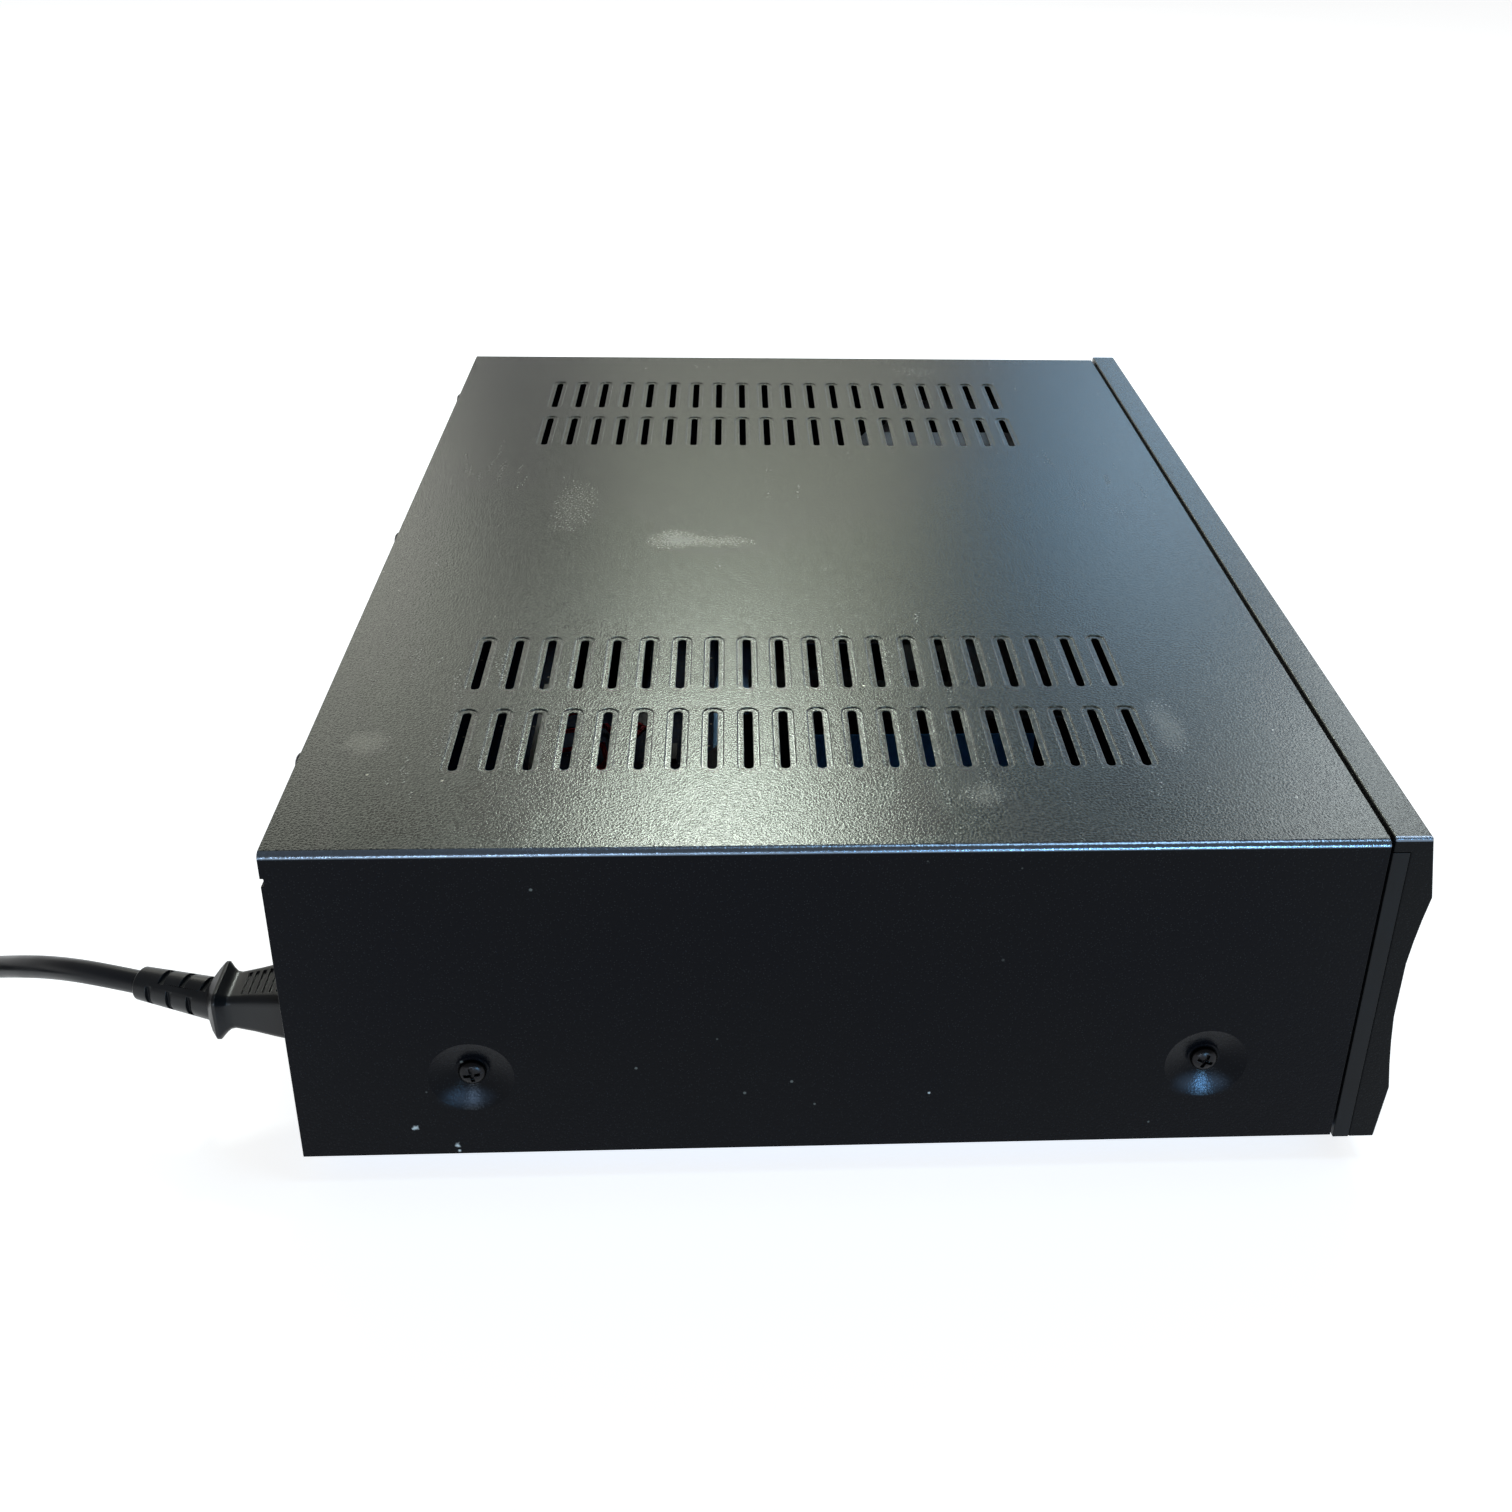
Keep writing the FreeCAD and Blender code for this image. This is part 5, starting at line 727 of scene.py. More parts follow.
@dataclass(frozen=True)
class SlotRims:
    """The light line round each slot of the cover, partly wear and partly painted highlight of the
    coined edge, in millimetres.
    """

    row_middle: float = 134.1
    row_offset: float = 24.4
    straight: float = 15.4
    radius: float = 3.1
    width: float = 0.45
    top: float = 121.0
    share: float = 0.05
    colour: Colour = (0.5, 0.51, 0.5)

    def mask(self, graph: Graph) -> Value:
        """Makes the mask of the lines.

        Args:
            graph: The material's node tree.

        Returns:
            One on the lines and nought elsewhere.
        """
        x, y, z = graph.millimetres()
        across = (x.size() - self.row_middle).size() - self.row_offset
        beyond = (across.size() - self.straight).at_least(0.0)
        turn = (y - (SLOT_FIRST + SEAM_Y - SLOT_PITCH / 2)) / SLOT_PITCH
        along = (turn - turn.math("FLOOR", turn) - 0.5) * SLOT_PITCH
        reach = (beyond * beyond + along * along) ** 0.5
        line = (reach - self.radius).size().fitted(self.width * 0.5, self.width, 1.0, 0.0)
        count = turn.above(0.0) * (SLOT_COUNT - turn).above(0.0)
        return line * count * z.above(self.top)


class Finish:
    """A look that can be made into a material."""

    def material(self, name: str) -> bpy.types.Material:
        """Makes the finish's material.

        Args:
            name: The material's name.

        Returns:
            The new material.
        """
        graph = Surface(name)
        self.paint(graph)
        return graph.material

    def paint(self, graph: Surface) -> None:
        """Sets up the surface shader of the finish's material.

        Args:
            graph: The material's node tree.
        """
        raise NotImplementedError


@dataclass(frozen=True)
class SheetCoat(Finish):
    """Grained satin paint on folded sheet, with faint wipes, smears and chips, and painted sheen
    and highlights on its top, bends and seats.
    """

    colour: Colour
    tint: Colour
    roughness: float = 0.3
    metallic: float = 0.1
    grain: float = 1500.0
    depth: float = 0.00009
    wipes: float = 0.06
    specular: float = 0.1
    fleck: float = 0.035
    smears: tuple[Mark, ...] = ()
    chips: tuple[Mark, ...] = ()
    # Places of painted highlights on the dished seats
    seats: tuple[Mark, ...] = ()
    # Light line round the slots: partly wear, partly painted highlight
    rims: SlotRims | None = None
    # Painted highlight along the bends of the top
    fold: FoldHighlight | None = None
    # Height above which the top faces get a painted sheen, and the sheen's two colours, mixed by
    # the grain
    sheen_height: float | None = None
    top_sheen_colours: tuple[Colour, Colour] = ((0.016, 0.017, 0.016), (0.060, 0.063, 0.058))
    fleck_colour: Colour = (0.5, 0.51, 0.52)
    smear_colour: Colour = (0.42, 0.42, 0.38)
    seat_highlight_colour: Colour = (0.05, 0.07, 0.10)
    chip_colour: Colour = (0.72, 0.71, 0.68)

    def paint(self, graph: Surface) -> None:
        """Sets up the grain and the wipes, and on the top faces a painted sheen of lighter, more
        metallic colours.

        Args:
            graph: The material's node tree.
        """
        place = graph.place()
        fleck = graph.cells(place, self.grain * 0.8)
        grain = graph.noise(place, self.grain, *FINE) * 0.6 + fleck * 0.4
        patch = graph.noise(place, 9.0)
        streak = graph.noise(graph.place((1.0, 6.0, 1.0)), 24.0, *FINE)
        wiped = streak.fitted(0.56, 0.78) * patch.fitted(0.45, 0.7)
        shade = graph.mixed(patch.fitted(*SPAN), self.colour, self.tint)
        metal = self.metallic
        # Painted sheen: only the top faces get lighter colours and more metal, standing in for the
        # light on them
        if self.sheen_height:
            flat = graph.millimetres()[2].fitted(self.sheen_height, self.sheen_height + 0.8)
            sheen_shade = graph.mixed(grain.fitted(0.3, 0.6), *self.top_sheen_colours)
            shade = graph.mixed(flat, shade, sheen_shade)
            metal = flat * 0.8 + self.metallic
        shade = graph.mixed(fleck.fitted(0.0, 0.32, self.fleck, 0.0), shade, self.fleck_colour)
        rough = self.roughness + wiped * self.wipes + grain.fitted(*SPAN, -0.05, 0.05)
        if self.smears:
            smeared = marked(graph, self.smears, graph.noise(place, 110.0, 4.0, 0.7), 0.6)
            specks = graph.cells(place, 70.0).fitted(0.02, 0.045, 0.35, 0.0)
            soil = smeared * 0.4 + specks * patch.fitted(0.45, 0.6)
            shade = graph.mixed(soil, shade, self.smear_colour)
            rough = rough + smeared * 0.1
            metal = (1 - smeared * 0.8) * metal
        shade, metal = self.wear_and_highlights(graph, grain, shade, metal)
        graph.shade(
            Base_Color=shade,
            Roughness=rough,
            Metallic=metal,
            Specular_IOR_Level=self.specular,
            Normal=graph.bumped(grain, self.depth),
        )

    def wear_and_highlights(
        self, graph: Surface, grain: Value, shade: Value, metal: "Value | float"
    ) -> "tuple[Value, Value | float]":
        """Adds the light lines round the slots, the painted highlights on the bends and the seats,
        and the chips.

        Args:
            graph: The material's node tree.
            grain: Height pattern of the paint.
            shade: Colour so far.
            metal: Share of metal so far.

        Returns:
            The new colour and share of metal.
        """
        # Light line round each slot: partly wear, partly painted highlight of the coined edge
        if self.rims:
            shade = graph.mixed(self.rims.mask(graph) * self.rims.share, shade, self.rims.colour)
        # Painted highlight along the top bends: a lighter colour and more metal
        if self.fold:
            fold_glint = self.fold.mask(graph)
            shade = graph.mixed(fold_glint * 0.8, shade, self.fold.colour)
            metal = fold_glint * (1 - metal) * 0.8 + metal
        # Painted highlight on the lower halves of the dished seats
        if self.seats:
            seat_glint = marked(graph, self.seats, grain, 0.1)
            shade = graph.mixed(seat_glint, shade, self.seat_highlight_colour)
            metal = seat_glint * 0.7 + metal
        if self.chips:
            chipped = marked(graph, self.chips, graph.noise(graph.place(), 900.0), 0.8)
            shade = graph.mixed(chipped, shade, self.chip_colour)
            metal = (1 - chipped) * metal
        return shade, metal


@dataclass(frozen=True)
class Moulding(Finish):
    """Moulded plastic or rubber with a fine texture."""

    colour: Colour
    roughness: float = 0.5
    grain: float = 900.0
    depth: float = 0.00002
    spread: float = 0.15
    specular: float = 0.5

    def paint(self, graph: Surface) -> None:
        """Sets up a fine grain and a slightly uneven colour.

        Args:
            graph: The material's node tree.
        """
        place = graph.place()
        grain = graph.noise(place, self.grain)
        patch = graph.noise(place, 60.0, 3.0)
        low, high = scaled(self.colour, 1 - self.spread), scaled(self.colour, 1 + self.spread)
        graph.shade(
            Base_Color=graph.mixed(patch.fitted(*SPAN), low, high),
            Roughness=self.roughness + patch.fitted(*SPAN, -0.06, 0.06),
            Specular_IOR_Level=self.specular,
            Normal=graph.bumped(grain, self.depth),
        )


@dataclass(frozen=True)
class BareMetal(Finish):
    """Bare metal with fine streaks along one axis."""

    colour: Colour
    roughness: float = 0.32
    streak: Triple = (1.0, 30.0, 30.0)
    spangle: float = 0.0
    metallic: float = 1.0
    depth: float = 0.00001

    def paint(self, graph: Surface) -> None:
        """Sets up the streaks and, on plated sheet, the spangle.

        Args:
            graph: The material's node tree.
        """
        lines = graph.noise(graph.place(self.streak), 120.0, *FINE)
        spangle = graph.parts(graph.cells(graph.place(), 90.0, "Color"))[0] * self.spangle
        level = spangle + lines.fitted(0.25, 0.75) * (1 - self.spangle)
        graph.shade(
            Base_Color=graph.mixed(level, scaled(self.colour, 0.8), self.colour),
            Roughness=self.roughness + level * 0.12,
            Metallic=self.metallic,
            Normal=graph.bumped(lines, self.depth),
        )


@dataclass(frozen=True)
class CircuitBoard(Finish):
    """Lacquered board with tracks and tinned pads."""

    colour: Colour
    track: Colour
    pitch: float = 320.0
    pad: Colour = (0.4, 0.39, 0.36)
    roughness: float = 0.5
    specular: float = 0.08
    depth: float = 0.00004

    def paint(self, graph: Surface) -> None:
        """Sets up the tracks between cells and the pads at their middles.

        Args:
            graph: The material's node tree.
        """
        place = graph.place()
        tracks = graph.cells(place, self.pitch, distance="CHEBYCHEV").fitted(0.30, 0.36)
        pads = graph.cells(place, self.pitch * 0.7).fitted(0.10, 0.14, 1.0, 0.0)
        lacquer = graph.mixed(tracks, self.colour, self.track)
        graph.shade(
            Base_Color=graph.mixed(pads, lacquer, self.pad),
            Metallic=pads * 0.5,
            Roughness=self.roughness + tracks * 0.1,
            Specular_IOR_Level=self.specular,
            Normal=graph.bumped(tracks, self.depth),
        )


@dataclass(frozen=True)
class Clear(Finish):
    """Clear or smoked plastic."""

    colour: Colour
    roughness: float = 0.06
    clarity: float = 0.7
    ior: float = 1.49

    def paint(self, graph: Surface) -> None:
        """Sets up a faint haze.

        Args:
            graph: The material's node tree.
        """
        haze = graph.noise(graph.place(), 80.0, 3.0)
        graph.shade(
            Base_Color=graph.mixed(haze.fitted(*SPAN), self.colour, scaled(self.colour, 1.2)),
            Roughness=self.roughness + haze.fitted(0.4, 0.8, 0.0, 0.05),
            Transmission_Weight=self.clarity,
            IOR=self.ior,
        )


@dataclass(frozen=True)
class Striped(Finish):
    """Flat ribbon or winding with fine lines across one axis."""

    colour: Colour
    line: Colour
    axis: int = 0
    pitch: float = 1000.0
    roughness: float = 0.4
    depth: float = 0.00003

    def paint(self, graph: Surface) -> None:
        """Sets up the lines and a little soil.

        Args:
            graph: The material's node tree.
        """
        across = graph.parts(graph.place())[self.axis] * self.pitch
        wave = across.math("FRACT", across)
        stripe = wave.fitted(0.35, 0.5) * wave.fitted(0.75, 0.9, 1.0, 0.0)
        soil = graph.noise(graph.place(), 70.0, 3.0).fitted(0.3, 0.8, 0.0, 0.15)
        shade = graph.mixed(stripe, self.line, self.colour)
        graph.shade(
            Base_Color=graph.mixed(soil, shade, scaled(self.colour, 0.6)),
            Roughness=self.roughness,
            Normal=graph.bumped(stripe, self.depth),
        )


WHITE = (1.0, 1.0, 1.0)
COVER_SMEARS = tuple(
    Mark((x, y, COVER_TOP), (wide, long, 3.0), strength)
    for x, y, wide, long, strength in (
        (-10.0, 210.0, 9.0, 11.0, 0.62),
        (-12.0, 196.0, 6.0, 20.0, 0.34),
        (-160.0, 300.0, 8.0, 8.0, 0.3),
        (-191.0, 113.5, 8.0, 9.0, 0.3),
        (-152.0, 50.0, 20.0, 6.0, 0.35),
        (24.0, 252.0, 34.0, 12.0, 0.14),
        (196.0, 95.0, 10.0, 14.0, 0.12),
    )
)
COVER_CHIPS = (
    Mark((-217.5, 283.6, 21.5), (1.0, 1.1, 1.1)),
    Mark((-217.5, 271.4, 14.2), (1.0, 0.8, 1.3)),
    Mark((-217.5, 271.0, 12.0), (1.0, 0.6, 0.7)),
    Mark((-217.5, 128.4, 31.5), (1.0, 0.5, 0.5)),
)
# Painted highlights on the lower halves of the dished seats: light blue and more metallic
DISH_HIGHLIGHTS = (
    Mark((-216.6, 267.5, 32.5), (3.0, 9.5, 4.5), 0.4),
    Mark((-216.6, 44.5, 32.5), (3.0, 10.5, 5.0), 0.6),
)
COVER_COAT = SheetCoat(
    (0.0030, 0.0035, 0.0056),
    (0.0038, 0.0040, 0.0054),
    0.22,
    specular=0.07,
    sheen_height=119.8,
    seats=DISH_HIGHLIGHTS,
    smears=COVER_SMEARS,
    chips=COVER_CHIPS,
    rims=SlotRims(),
    fold=FoldHighlight(119.9, 215.6),
)
PANEL_COAT = SheetCoat(
    (0.0045, 0.0047, 0.0056),
    (0.0052, 0.0054, 0.0060),
    0.26,
    specular=0.08,
    fold=FoldHighlight(121.9, 216.3, 0.3),
    sheen_height=121.9,
)
REAR_COAT_AND_SEAM_SHADE = SheetCoat(
    (0.012, 0.012, 0.013),
    (0.014, 0.014, 0.0145),
    0.42,
    grain=1800.0,
    depth=0.00003,
    wipes=0.03,
    specular=0.35,
    fleck=0.04,
)
NO_STREAK = (1.0, 1.0, 1.0)
BLACK_MOULD = Moulding((0.008, 0.008, 0.009), 0.42, 1500.0, 0.00002, 0.15, 0.13)
WHITE_MOULD = Moulding((0.78, 0.78, 0.74), 0.45)
CORD_SKIN = Moulding((0.007, 0.0072, 0.009), 0.34, 1400.0, 0.00001, 0.15, 0.25)
GRIP_SKIN = Moulding((0.008, 0.008, 0.009), 0.34, 1600.0, 0.00002, 0.15, 0.3)
BUTTON = Moulding((0.02, 0.02, 0.022), 0.3, 1600.0, 0.000006)
FOOT = Moulding((0.014, 0.014, 0.014), 0.55)
ZINC = BareMetal((0.62, 0.63, 0.64), 0.3, NO_STREAK, 0.8)
# Zinc-plated chassis pan whose light blue is a painted reflection of the sky light falling through
# the slots
ZINC_PAINTED_SKY_BLUE = BareMetal((0.20, 0.36, 0.58), 0.4, NO_STREAK, 0.6)
BLUE_PLATE = BareMetal((0.12, 0.42, 0.85), 0.45, NO_STREAK, 0.3, 0.4)
STEEL = BareMetal((0.6, 0.6, 0.61), 0.24)
BRASS = BareMetal((0.72, 0.52, 0.22), 0.25)
BLACK_STEEL = BareMetal((0.022, 0.022, 0.024), 0.22)

# Nodes and their finish, in the order in which the materials are made
FINISHES = (
    ("chassis_pan", ZINC_PAINTED_SKY_BLUE),
    # The chassis front takes the dark rear coat as painted shade, so the seam between front panel
    # and cover reads dark
    ("chassis_front rear_panel", REAR_COAT_AND_SEAM_SHADE),
    ("front_fascia", PANEL_COAT),
    ("front_frame", BLACK_MOULD),
    ("display_window", Clear((0.05, 0.05, 0.055))),
    ("display_module", Moulding((0.015, 0.03, 0.03), 0.15, 400.0, 0.000005)),
    ("front_board", CircuitBoard((0.02, 0.10, 0.04), (0.03, 0.15, 0.06))),
    ("tact_switches", Moulding((0.03, 0.03, 0.03), 0.4)),
    ("power_button play_button stop_button open_button", BUTTON),
    ("foot_front_left foot_front_right foot_rear_left foot_rear_right", FOOT),
    ("cover_screws", BLACK_STEEL),
    ("loader_bracket_left", BLUE_PLATE),
    ("loader_bracket_right", ZINC),
    ("loader_frame", Moulding((0.02, 0.02, 0.021), 0.5)),
    ("disc_tray", Moulding((0.018, 0.018, 0.02), 0.42)),
    ("tray_door", PANEL_COAT),
    ("tray_gear pulley_gear", WHITE_MOULD),
    ("motor_pulley", BRASS),
    ("drive_belt", Moulding((0.01, 0.01, 0.01), 0.7)),
    ("loading_motor", STEEL),
    ("cam_slider", WHITE_MOULD),
    ("traverse_frame", Moulding((0.03, 0.03, 0.03), 0.5)),
    ("guide_rods", BareMetal((0.68, 0.68, 0.69), 0.16, (40.0, 1.0, 40.0))),
    ("sled_motor", STEEL),
    ("lead_screw", Striped((0.5, 0.5, 0.5), (0.2, 0.2, 0.2), 1, 800.0, 0.3)),
    ("pickup_sled", BareMetal((0.10, 0.10, 0.105), 0.45, NO_STREAK, 0.4)),
    ("pickup_lens", Clear((0.3, 0.35, 0.6), 0.03)),
    ("spindle_motor", STEEL),
    ("turntable", Moulding((0.03, 0.03, 0.03), 0.55)),
    ("clamp_bridge", ZINC),
    ("clamp_puck", WHITE_MOULD),
    ("power_board", CircuitBoard((0.020, 0.016, 0.012), (0.030, 0.024, 0.018), 200.0)),
    ("power_transformer", Striped((0.75, 0.6, 0.12), (0.5, 0.38, 0.06), 2, 300.0, 0.35)),
    ("power_capacitors", Striped((0.02, 0.02, 0.05), (0.015, 0.015, 0.04), 2, 120.0, 0.25)),
    ("power_heatsink", BareMetal((0.6, 0.61, 0.62), 0.3, (30.0, 30.0, 1.0))),
    ("main_board", CircuitBoard((0.005, 0.014, 0.040), (0.008, 0.022, 0.060))),
    ("main_heatsink", BareMetal((0.10, 0.10, 0.11), 0.38, (30.0, 1.0, 30.0))),
    ("main_chips", Moulding((0.02, 0.02, 0.02), 0.5, 1200.0)),
    ("board_connectors", Moulding((0.8, 0.79, 0.75), 0.4)),
    ("wire_harness", Moulding((0.62, 0.015, 0.03), 0.5, 500.0, 0.000005, 0.1, 0.1)),
    ("flat_cables", Striped((0.85, 0.85, 0.84), (0.66, 0.67, 0.7), 0, 800.0, 0.35)),
    ("mains_inlet", BLACK_MOULD),
    ("phono_jacks", BRASS),
    ("hdmi_socket network_socket", STEEL),
    ("fan_frame", BLACK_MOULD),
    ("fan_rotor", Moulding((0.016, 0.016, 0.017), 0.42)),
    ("cord_connector mains_plug", GRIP_SKIN),
    ("mains_cord cord_coil", CORD_SKIN),
)
NODE_FINISHES: dict[str, Finish] = {
    node: finish for nodes, finish in FINISHES for node in nodes.split()
}


class Paintshop:
    """Keeps one material for each finish."""

    def __init__(self) -> None:
        """Starts without materials."""
        self.made: dict[Finish, bpy.types.Material] = {}

    def material(self, finish: Finish, name: str) -> bpy.types.Material:
        """Finds the material of a finish, made at its first use.

        Args:
            finish: The finish.
            name: Name for a new material.

        Returns:
            The finish's material.
        """
        if finish not in self.made:
            self.made[finish] = finish.material(name)
        return self.made[finish]

    def dress_nodes(self) -> None:
        """Gives every carried-over CAD node its finish."""
        for name, finish in NODE_FINISHES.items():
            node = frame["nodes"][name]
            material = self.material(finish, name + "_finish")
            if not node.material_slots:
                node.data.materials.append(None)
            for place in node.material_slots:
                place.material = material
        log.info("dressed %d nodes", len(NODE_FINISHES))

    def dress(self, piece: Object, finish: Finish, body: str, slot: str) -> None:
        """Gives a new piece its finish and body.

        Args:
            piece: The piece.
            finish: Its finish.
            body: The body that it rides on.
            slot: Its slot in the record, which names its material.
        """
        piece.data.materials.clear()
        piece.data.materials.append(self.material(finish, slot + "_finish"))
        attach(piece, body)
        log.info("piece %s rides on %s", piece.name, body)


# Sub-assemblies


@dataclass
class Assembly:
    """A part of the player that is built in one go and dressed from one paintshop."""

    paint: Paintshop


@dataclass
class Viewpoint:
    """The camera, placed as the photograph's lines give it."""

    place: Triple = (-0.591903, 0.032634, 0.386841)
    heading: float = -3.73
    pitch: float = 26.28
    roll: float = 1.55
    lens: float = 38.79
    shift: Pair = (-0.0470, -0.1084)

    def build(self) -> None:
        """Makes the camera."""
        data = bpy.data.cameras.new("camera")
        data.sensor_width = 36.0
        data.lens = self.lens
        data.shift_x, data.shift_y = self.shift
        camera = placed("camera", data)
        camera.matrix_world = self.matrix()
        bpy.context.scene.camera = camera

    def matrix(self) -> Matrix:
        """Returns the camera's place and directions."""
        yaw, dip = math.radians(self.heading), math.radians(self.pitch)
        turn = math.radians(self.roll)
        level = math.cos(dip)
        ahead = Vector((level * math.cos(yaw), level * math.sin(yaw), -math.sin(dip)))
        right = ahead.cross(Axis.Z.vector).normalized()
        up = right.cross(ahead)
        right, up = (
            right * math.cos(turn) + up * math.sin(turn),
            up * math.cos(turn) - right * math.sin(turn),
        )
        columns = Matrix((right, up, -ahead)).transposed().to_4x4()
        return Matrix.Translation(Vector(self.place)) @ columns


@dataclass
class MainsCord(Assembly):
    """The cord from the strain relief to the put-away coil."""

    first_run: float = 22.0
    route: tuple[Triple, ...] = (
        (-149.5, 413.0, 29.5),
        (-137.5, 432.0, 20.5),
        (-125.0, 450.0, 10.0),
        (-112.0, 469.0, 4.07),
        (-100.0, 487.5, 4.07),
    )
    radii: tuple[float, ...] = (51.05, 46.35, 41.65, 36.95, 36.95, 41.65, 46.35, 72.0)
    layer: tuple[float, ...] = (0.0, 0.0, 0.0, 0.0, 8.3, 8.3, 8.3, 8.3)
    steps: int = 8
    length: float = 1.13

    def start(self) -> Vector:
        """Returns the point where the cord leaves the strain relief, in millimetres."""
        x = INLET_X + RELIEF_LENGTH * math.sin(RELIEF_TURN)
        y = COLLAR_Y + RELIEF_LENGTH * math.cos(RELIEF_TURN)
        return Vector((x, y, INLET_Z))

    def points(self) -> list[Vector]:
        """Returns the route's points in millimetres, the coil's turns by formula."""
        lead = Vector((math.sin(RELIEF_TURN), math.cos(RELIEF_TURN), 0)) * self.first_run
        route = [self.start(), self.start() + lead] + [Vector(point) for point in self.route]
        way = route[-1] - route[-2]
        way.z = 0
        way.normalize()
        side = Vector((-way.y, way.x, 0))
        straight = route[-1] + way * CORD_DIAMETER
        centre = straight + side * self.radii[0]
        points = route + [straight]
        reach = 1 / math.cos(math.pi / self.steps / 2)
        halves = zip(self.radii, self.radii[1:], self.layer, self.layer[1:])
        for i, (near, far, low, high) in enumerate(halves):
            for step in range(self.steps):
                share = (step + 0.5) / self.steps
                angle = math.pi * (i + share)
                radius = (near + (far - near) * share) * reach
                out = way * math.sin(angle) - side * math.cos(angle)
                points.append(centre + out * radius + Vector((0, 0, low + (high - low) * share)))
        last = centre + side * self.radii[-1] + Vector((0, 0, self.layer[-1]))
        return points + [last, last - way * CORD_DIAMETER]

    def build(self) -> None:
        data = bpy.data.curves.new("mains_lead", "CURVE")
        data.dimensions = "3D"
        data.bevel_depth = CORD_DIAMETER / 2000
        data.bevel_resolution = 5
        data.resolution_u = 6
        data.use_fill_caps = True
        spline = data.splines.new("NURBS")
        points = self.points()
        spline.points.add(len(points) - 1)
        for point, place in zip(spline.points, points):
            point.co = (*at(*place), 1.0)
        spline.order_u = 3
        spline.use_endpoint_u = True
        cord = placed("mains_lead", data)
        self.paint.dress(cord, CORD_SKIN, CASING, "mains_cord")
        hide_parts("mains_cord", "cord_coil")


@dataclass
class Cover(Assembly):
    """The folded sheet cover with its slots, dished seats and rear lips."""

    rows: tuple[float, ...] = (-158.5, -109.7, 109.7, 158.5)
    slot: Pair = (33.8, 2.75)
    coin: Pair = (37.5, 6.7)
    coin_depth: float = 0.4
    end_steps: int = 7
    front: float = 0.4
    clear: float = 5.0
    bend: float = 2.0
    bend_steps: tuple[int, int] = (8, 3)
    dish: Triple = (12.75, 5.0, 3.0)
    dish_sides: int = 64
    side_lip: float = 7.0
    top_lip: float = 10.0
    relief: float = 2.6
    hole: Pair = (1.7, 1.7)
    hole_sides: int = 20
    ease: float = 0.22

    def slots(self, outline: Pair, low: float) -> Shape:
        """Makes the slots, up to above the cover.

        Args:
            outline: Length and width of each.
            low: Height of the lower end, in millimetres.

        Returns:
            One prism for each slot.
        """
        shape = Shape()
        for x in self.rows:
            for i in range(SLOT_COUNT):
                corners = stadium(x, SLOT_FIRST + i * SLOT_PITCH, low, *outline, self.end_steps)
                shape.prism(corners, mm(0, 0, COVER_TOP + 1 - low))
        return shape

    def folded(self, inset: float, reach: float, steps: int) -> Shape:
        """Returns the cover's outside form or the room inside it.

        Args:
            inset: Distance of the form behind the sheet's outside.
            reach: Distance by which it stands out in front and below.
            steps: Facets of each bend.

        Returns:
            The form, with the bends along both upper edges.
        """
        low = (inset - HALF_WIDTH, self.front - reach, UNDERSIDE - reach)
        high = (HALF_WIDTH - inset, COVER_DEPTH - inset, COVER_TOP - inset)
        top = high[2] / 1000 - EDGE_SLACK
        return Shape().block(low, high).rounded(
            self.bend - inset, steps, lambda a, b: min(a.z, b.z) > top and abs(a.y - b.y) > 0.1
        )

    def dishes(self, lift: float) -> Shape:
        """Makes the form of the dished seats.

        Args:
            lift: Distance of the wide ends outside the side's face.

        Returns:
            Four cones.
        """
        shape = Shape()
        wide, narrow, depth = self.dish
        reach = abs(lift)
        radii = (wide + (wide - narrow) / depth * reach, narrow)
        for start, inwards in dish_seats(lift):
            shape.cone(radii, start, inwards, depth + reach, self.dish_sides)
        return shape

    def window(self) -> Shape:
        """Returns the rear window between the lips."""
        inner = HALF_WIDTH - SHEET - self.side_lip
        low = (-inner, COVER_DEPTH - 2 * SHEET, UNDERSIDE - self.clear)
        return Shape().block(low, (inner, COVER_DEPTH + SHEET, COVER_TOP - SHEET - self.top_lip))

    def holes(self) -> Shape:
        """Returns the lips' reliefs and the screw holes."""
        inner = HALF_WIDTH - 2 * SHEET - self.side_lip
        lip = COVER_TOP - SHEET - self.top_lip
        shape = Shape()
        for side in SIDES:
            near, far = sorted((side * inner, side * (HALF_WIDTH + SHEET)))
            high = (far, COVER_DEPTH + SHEET, lip + self.relief)
            shape.block((near, COVER_DEPTH - SHEET, lip), high)
        for start, inwards in dish_seats(0.0):
            shape.cone(self.hole, start, inwards, 8, self.hole_sides)
        for x in REAR_SCREWS:
            start = at(x, COVER_DEPTH - 3, REAR_SCREW_HEIGHT)
            shape.cone(self.hole, start, Axis.Y.vector, 6, self.hole_sides)
        return shape

    def crisp(self, cover: Object) -> None:
        """Keeps the low rims of the dished seats from being shaded away.

        Args:
            cover: The cover.
        """
        side, above, turns = HALF_WIDTH - 5, 60, (12, 30)
        mesh = bmesh.new()
        mesh.from_mesh(cover.data)
        for edge in mesh.edges:
            middle = (edge.verts[0].co + edge.verts[1].co) * 500
            turn = math.degrees(edge.calc_face_angle(0.0))
            if abs(middle.x) > side and middle.z < above and turns[0] < turn < turns[1]:
                edge.smooth = False
        mesh.to_mesh(cover.data)
        mesh.free()

    def build(self) -> None:
        """Makes the cover in place of its plain node."""
        outside, inside = self.bend_steps
        cover = self.folded(0.0, 0.0, outside).object("cover_sheet")
        for tool, way in (
            (self.folded(SHEET, self.clear, inside), Cut.AWAY),
            (self.dishes(-SHEET / 2), Cut.TOGETHER),
            (self.dishes(1.0), Cut.AWAY),
            (self.window(), Cut.AWAY),
            (self.holes(), Cut.AWAY),
            (self.slots(self.coin, COVER_TOP - self.coin_depth), Cut.AWAY),
            (self.slots(self.slot, COVER_TOP - 3), Cut.AWAY),
        ):
            combined(cover, tool.object("tool"), way)
        self.crisp(cover)
        softened(cover, self.ease)
        self.paint.dress(cover, COVER_COAT, CASING, "top_cover")
        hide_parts("top_cover")


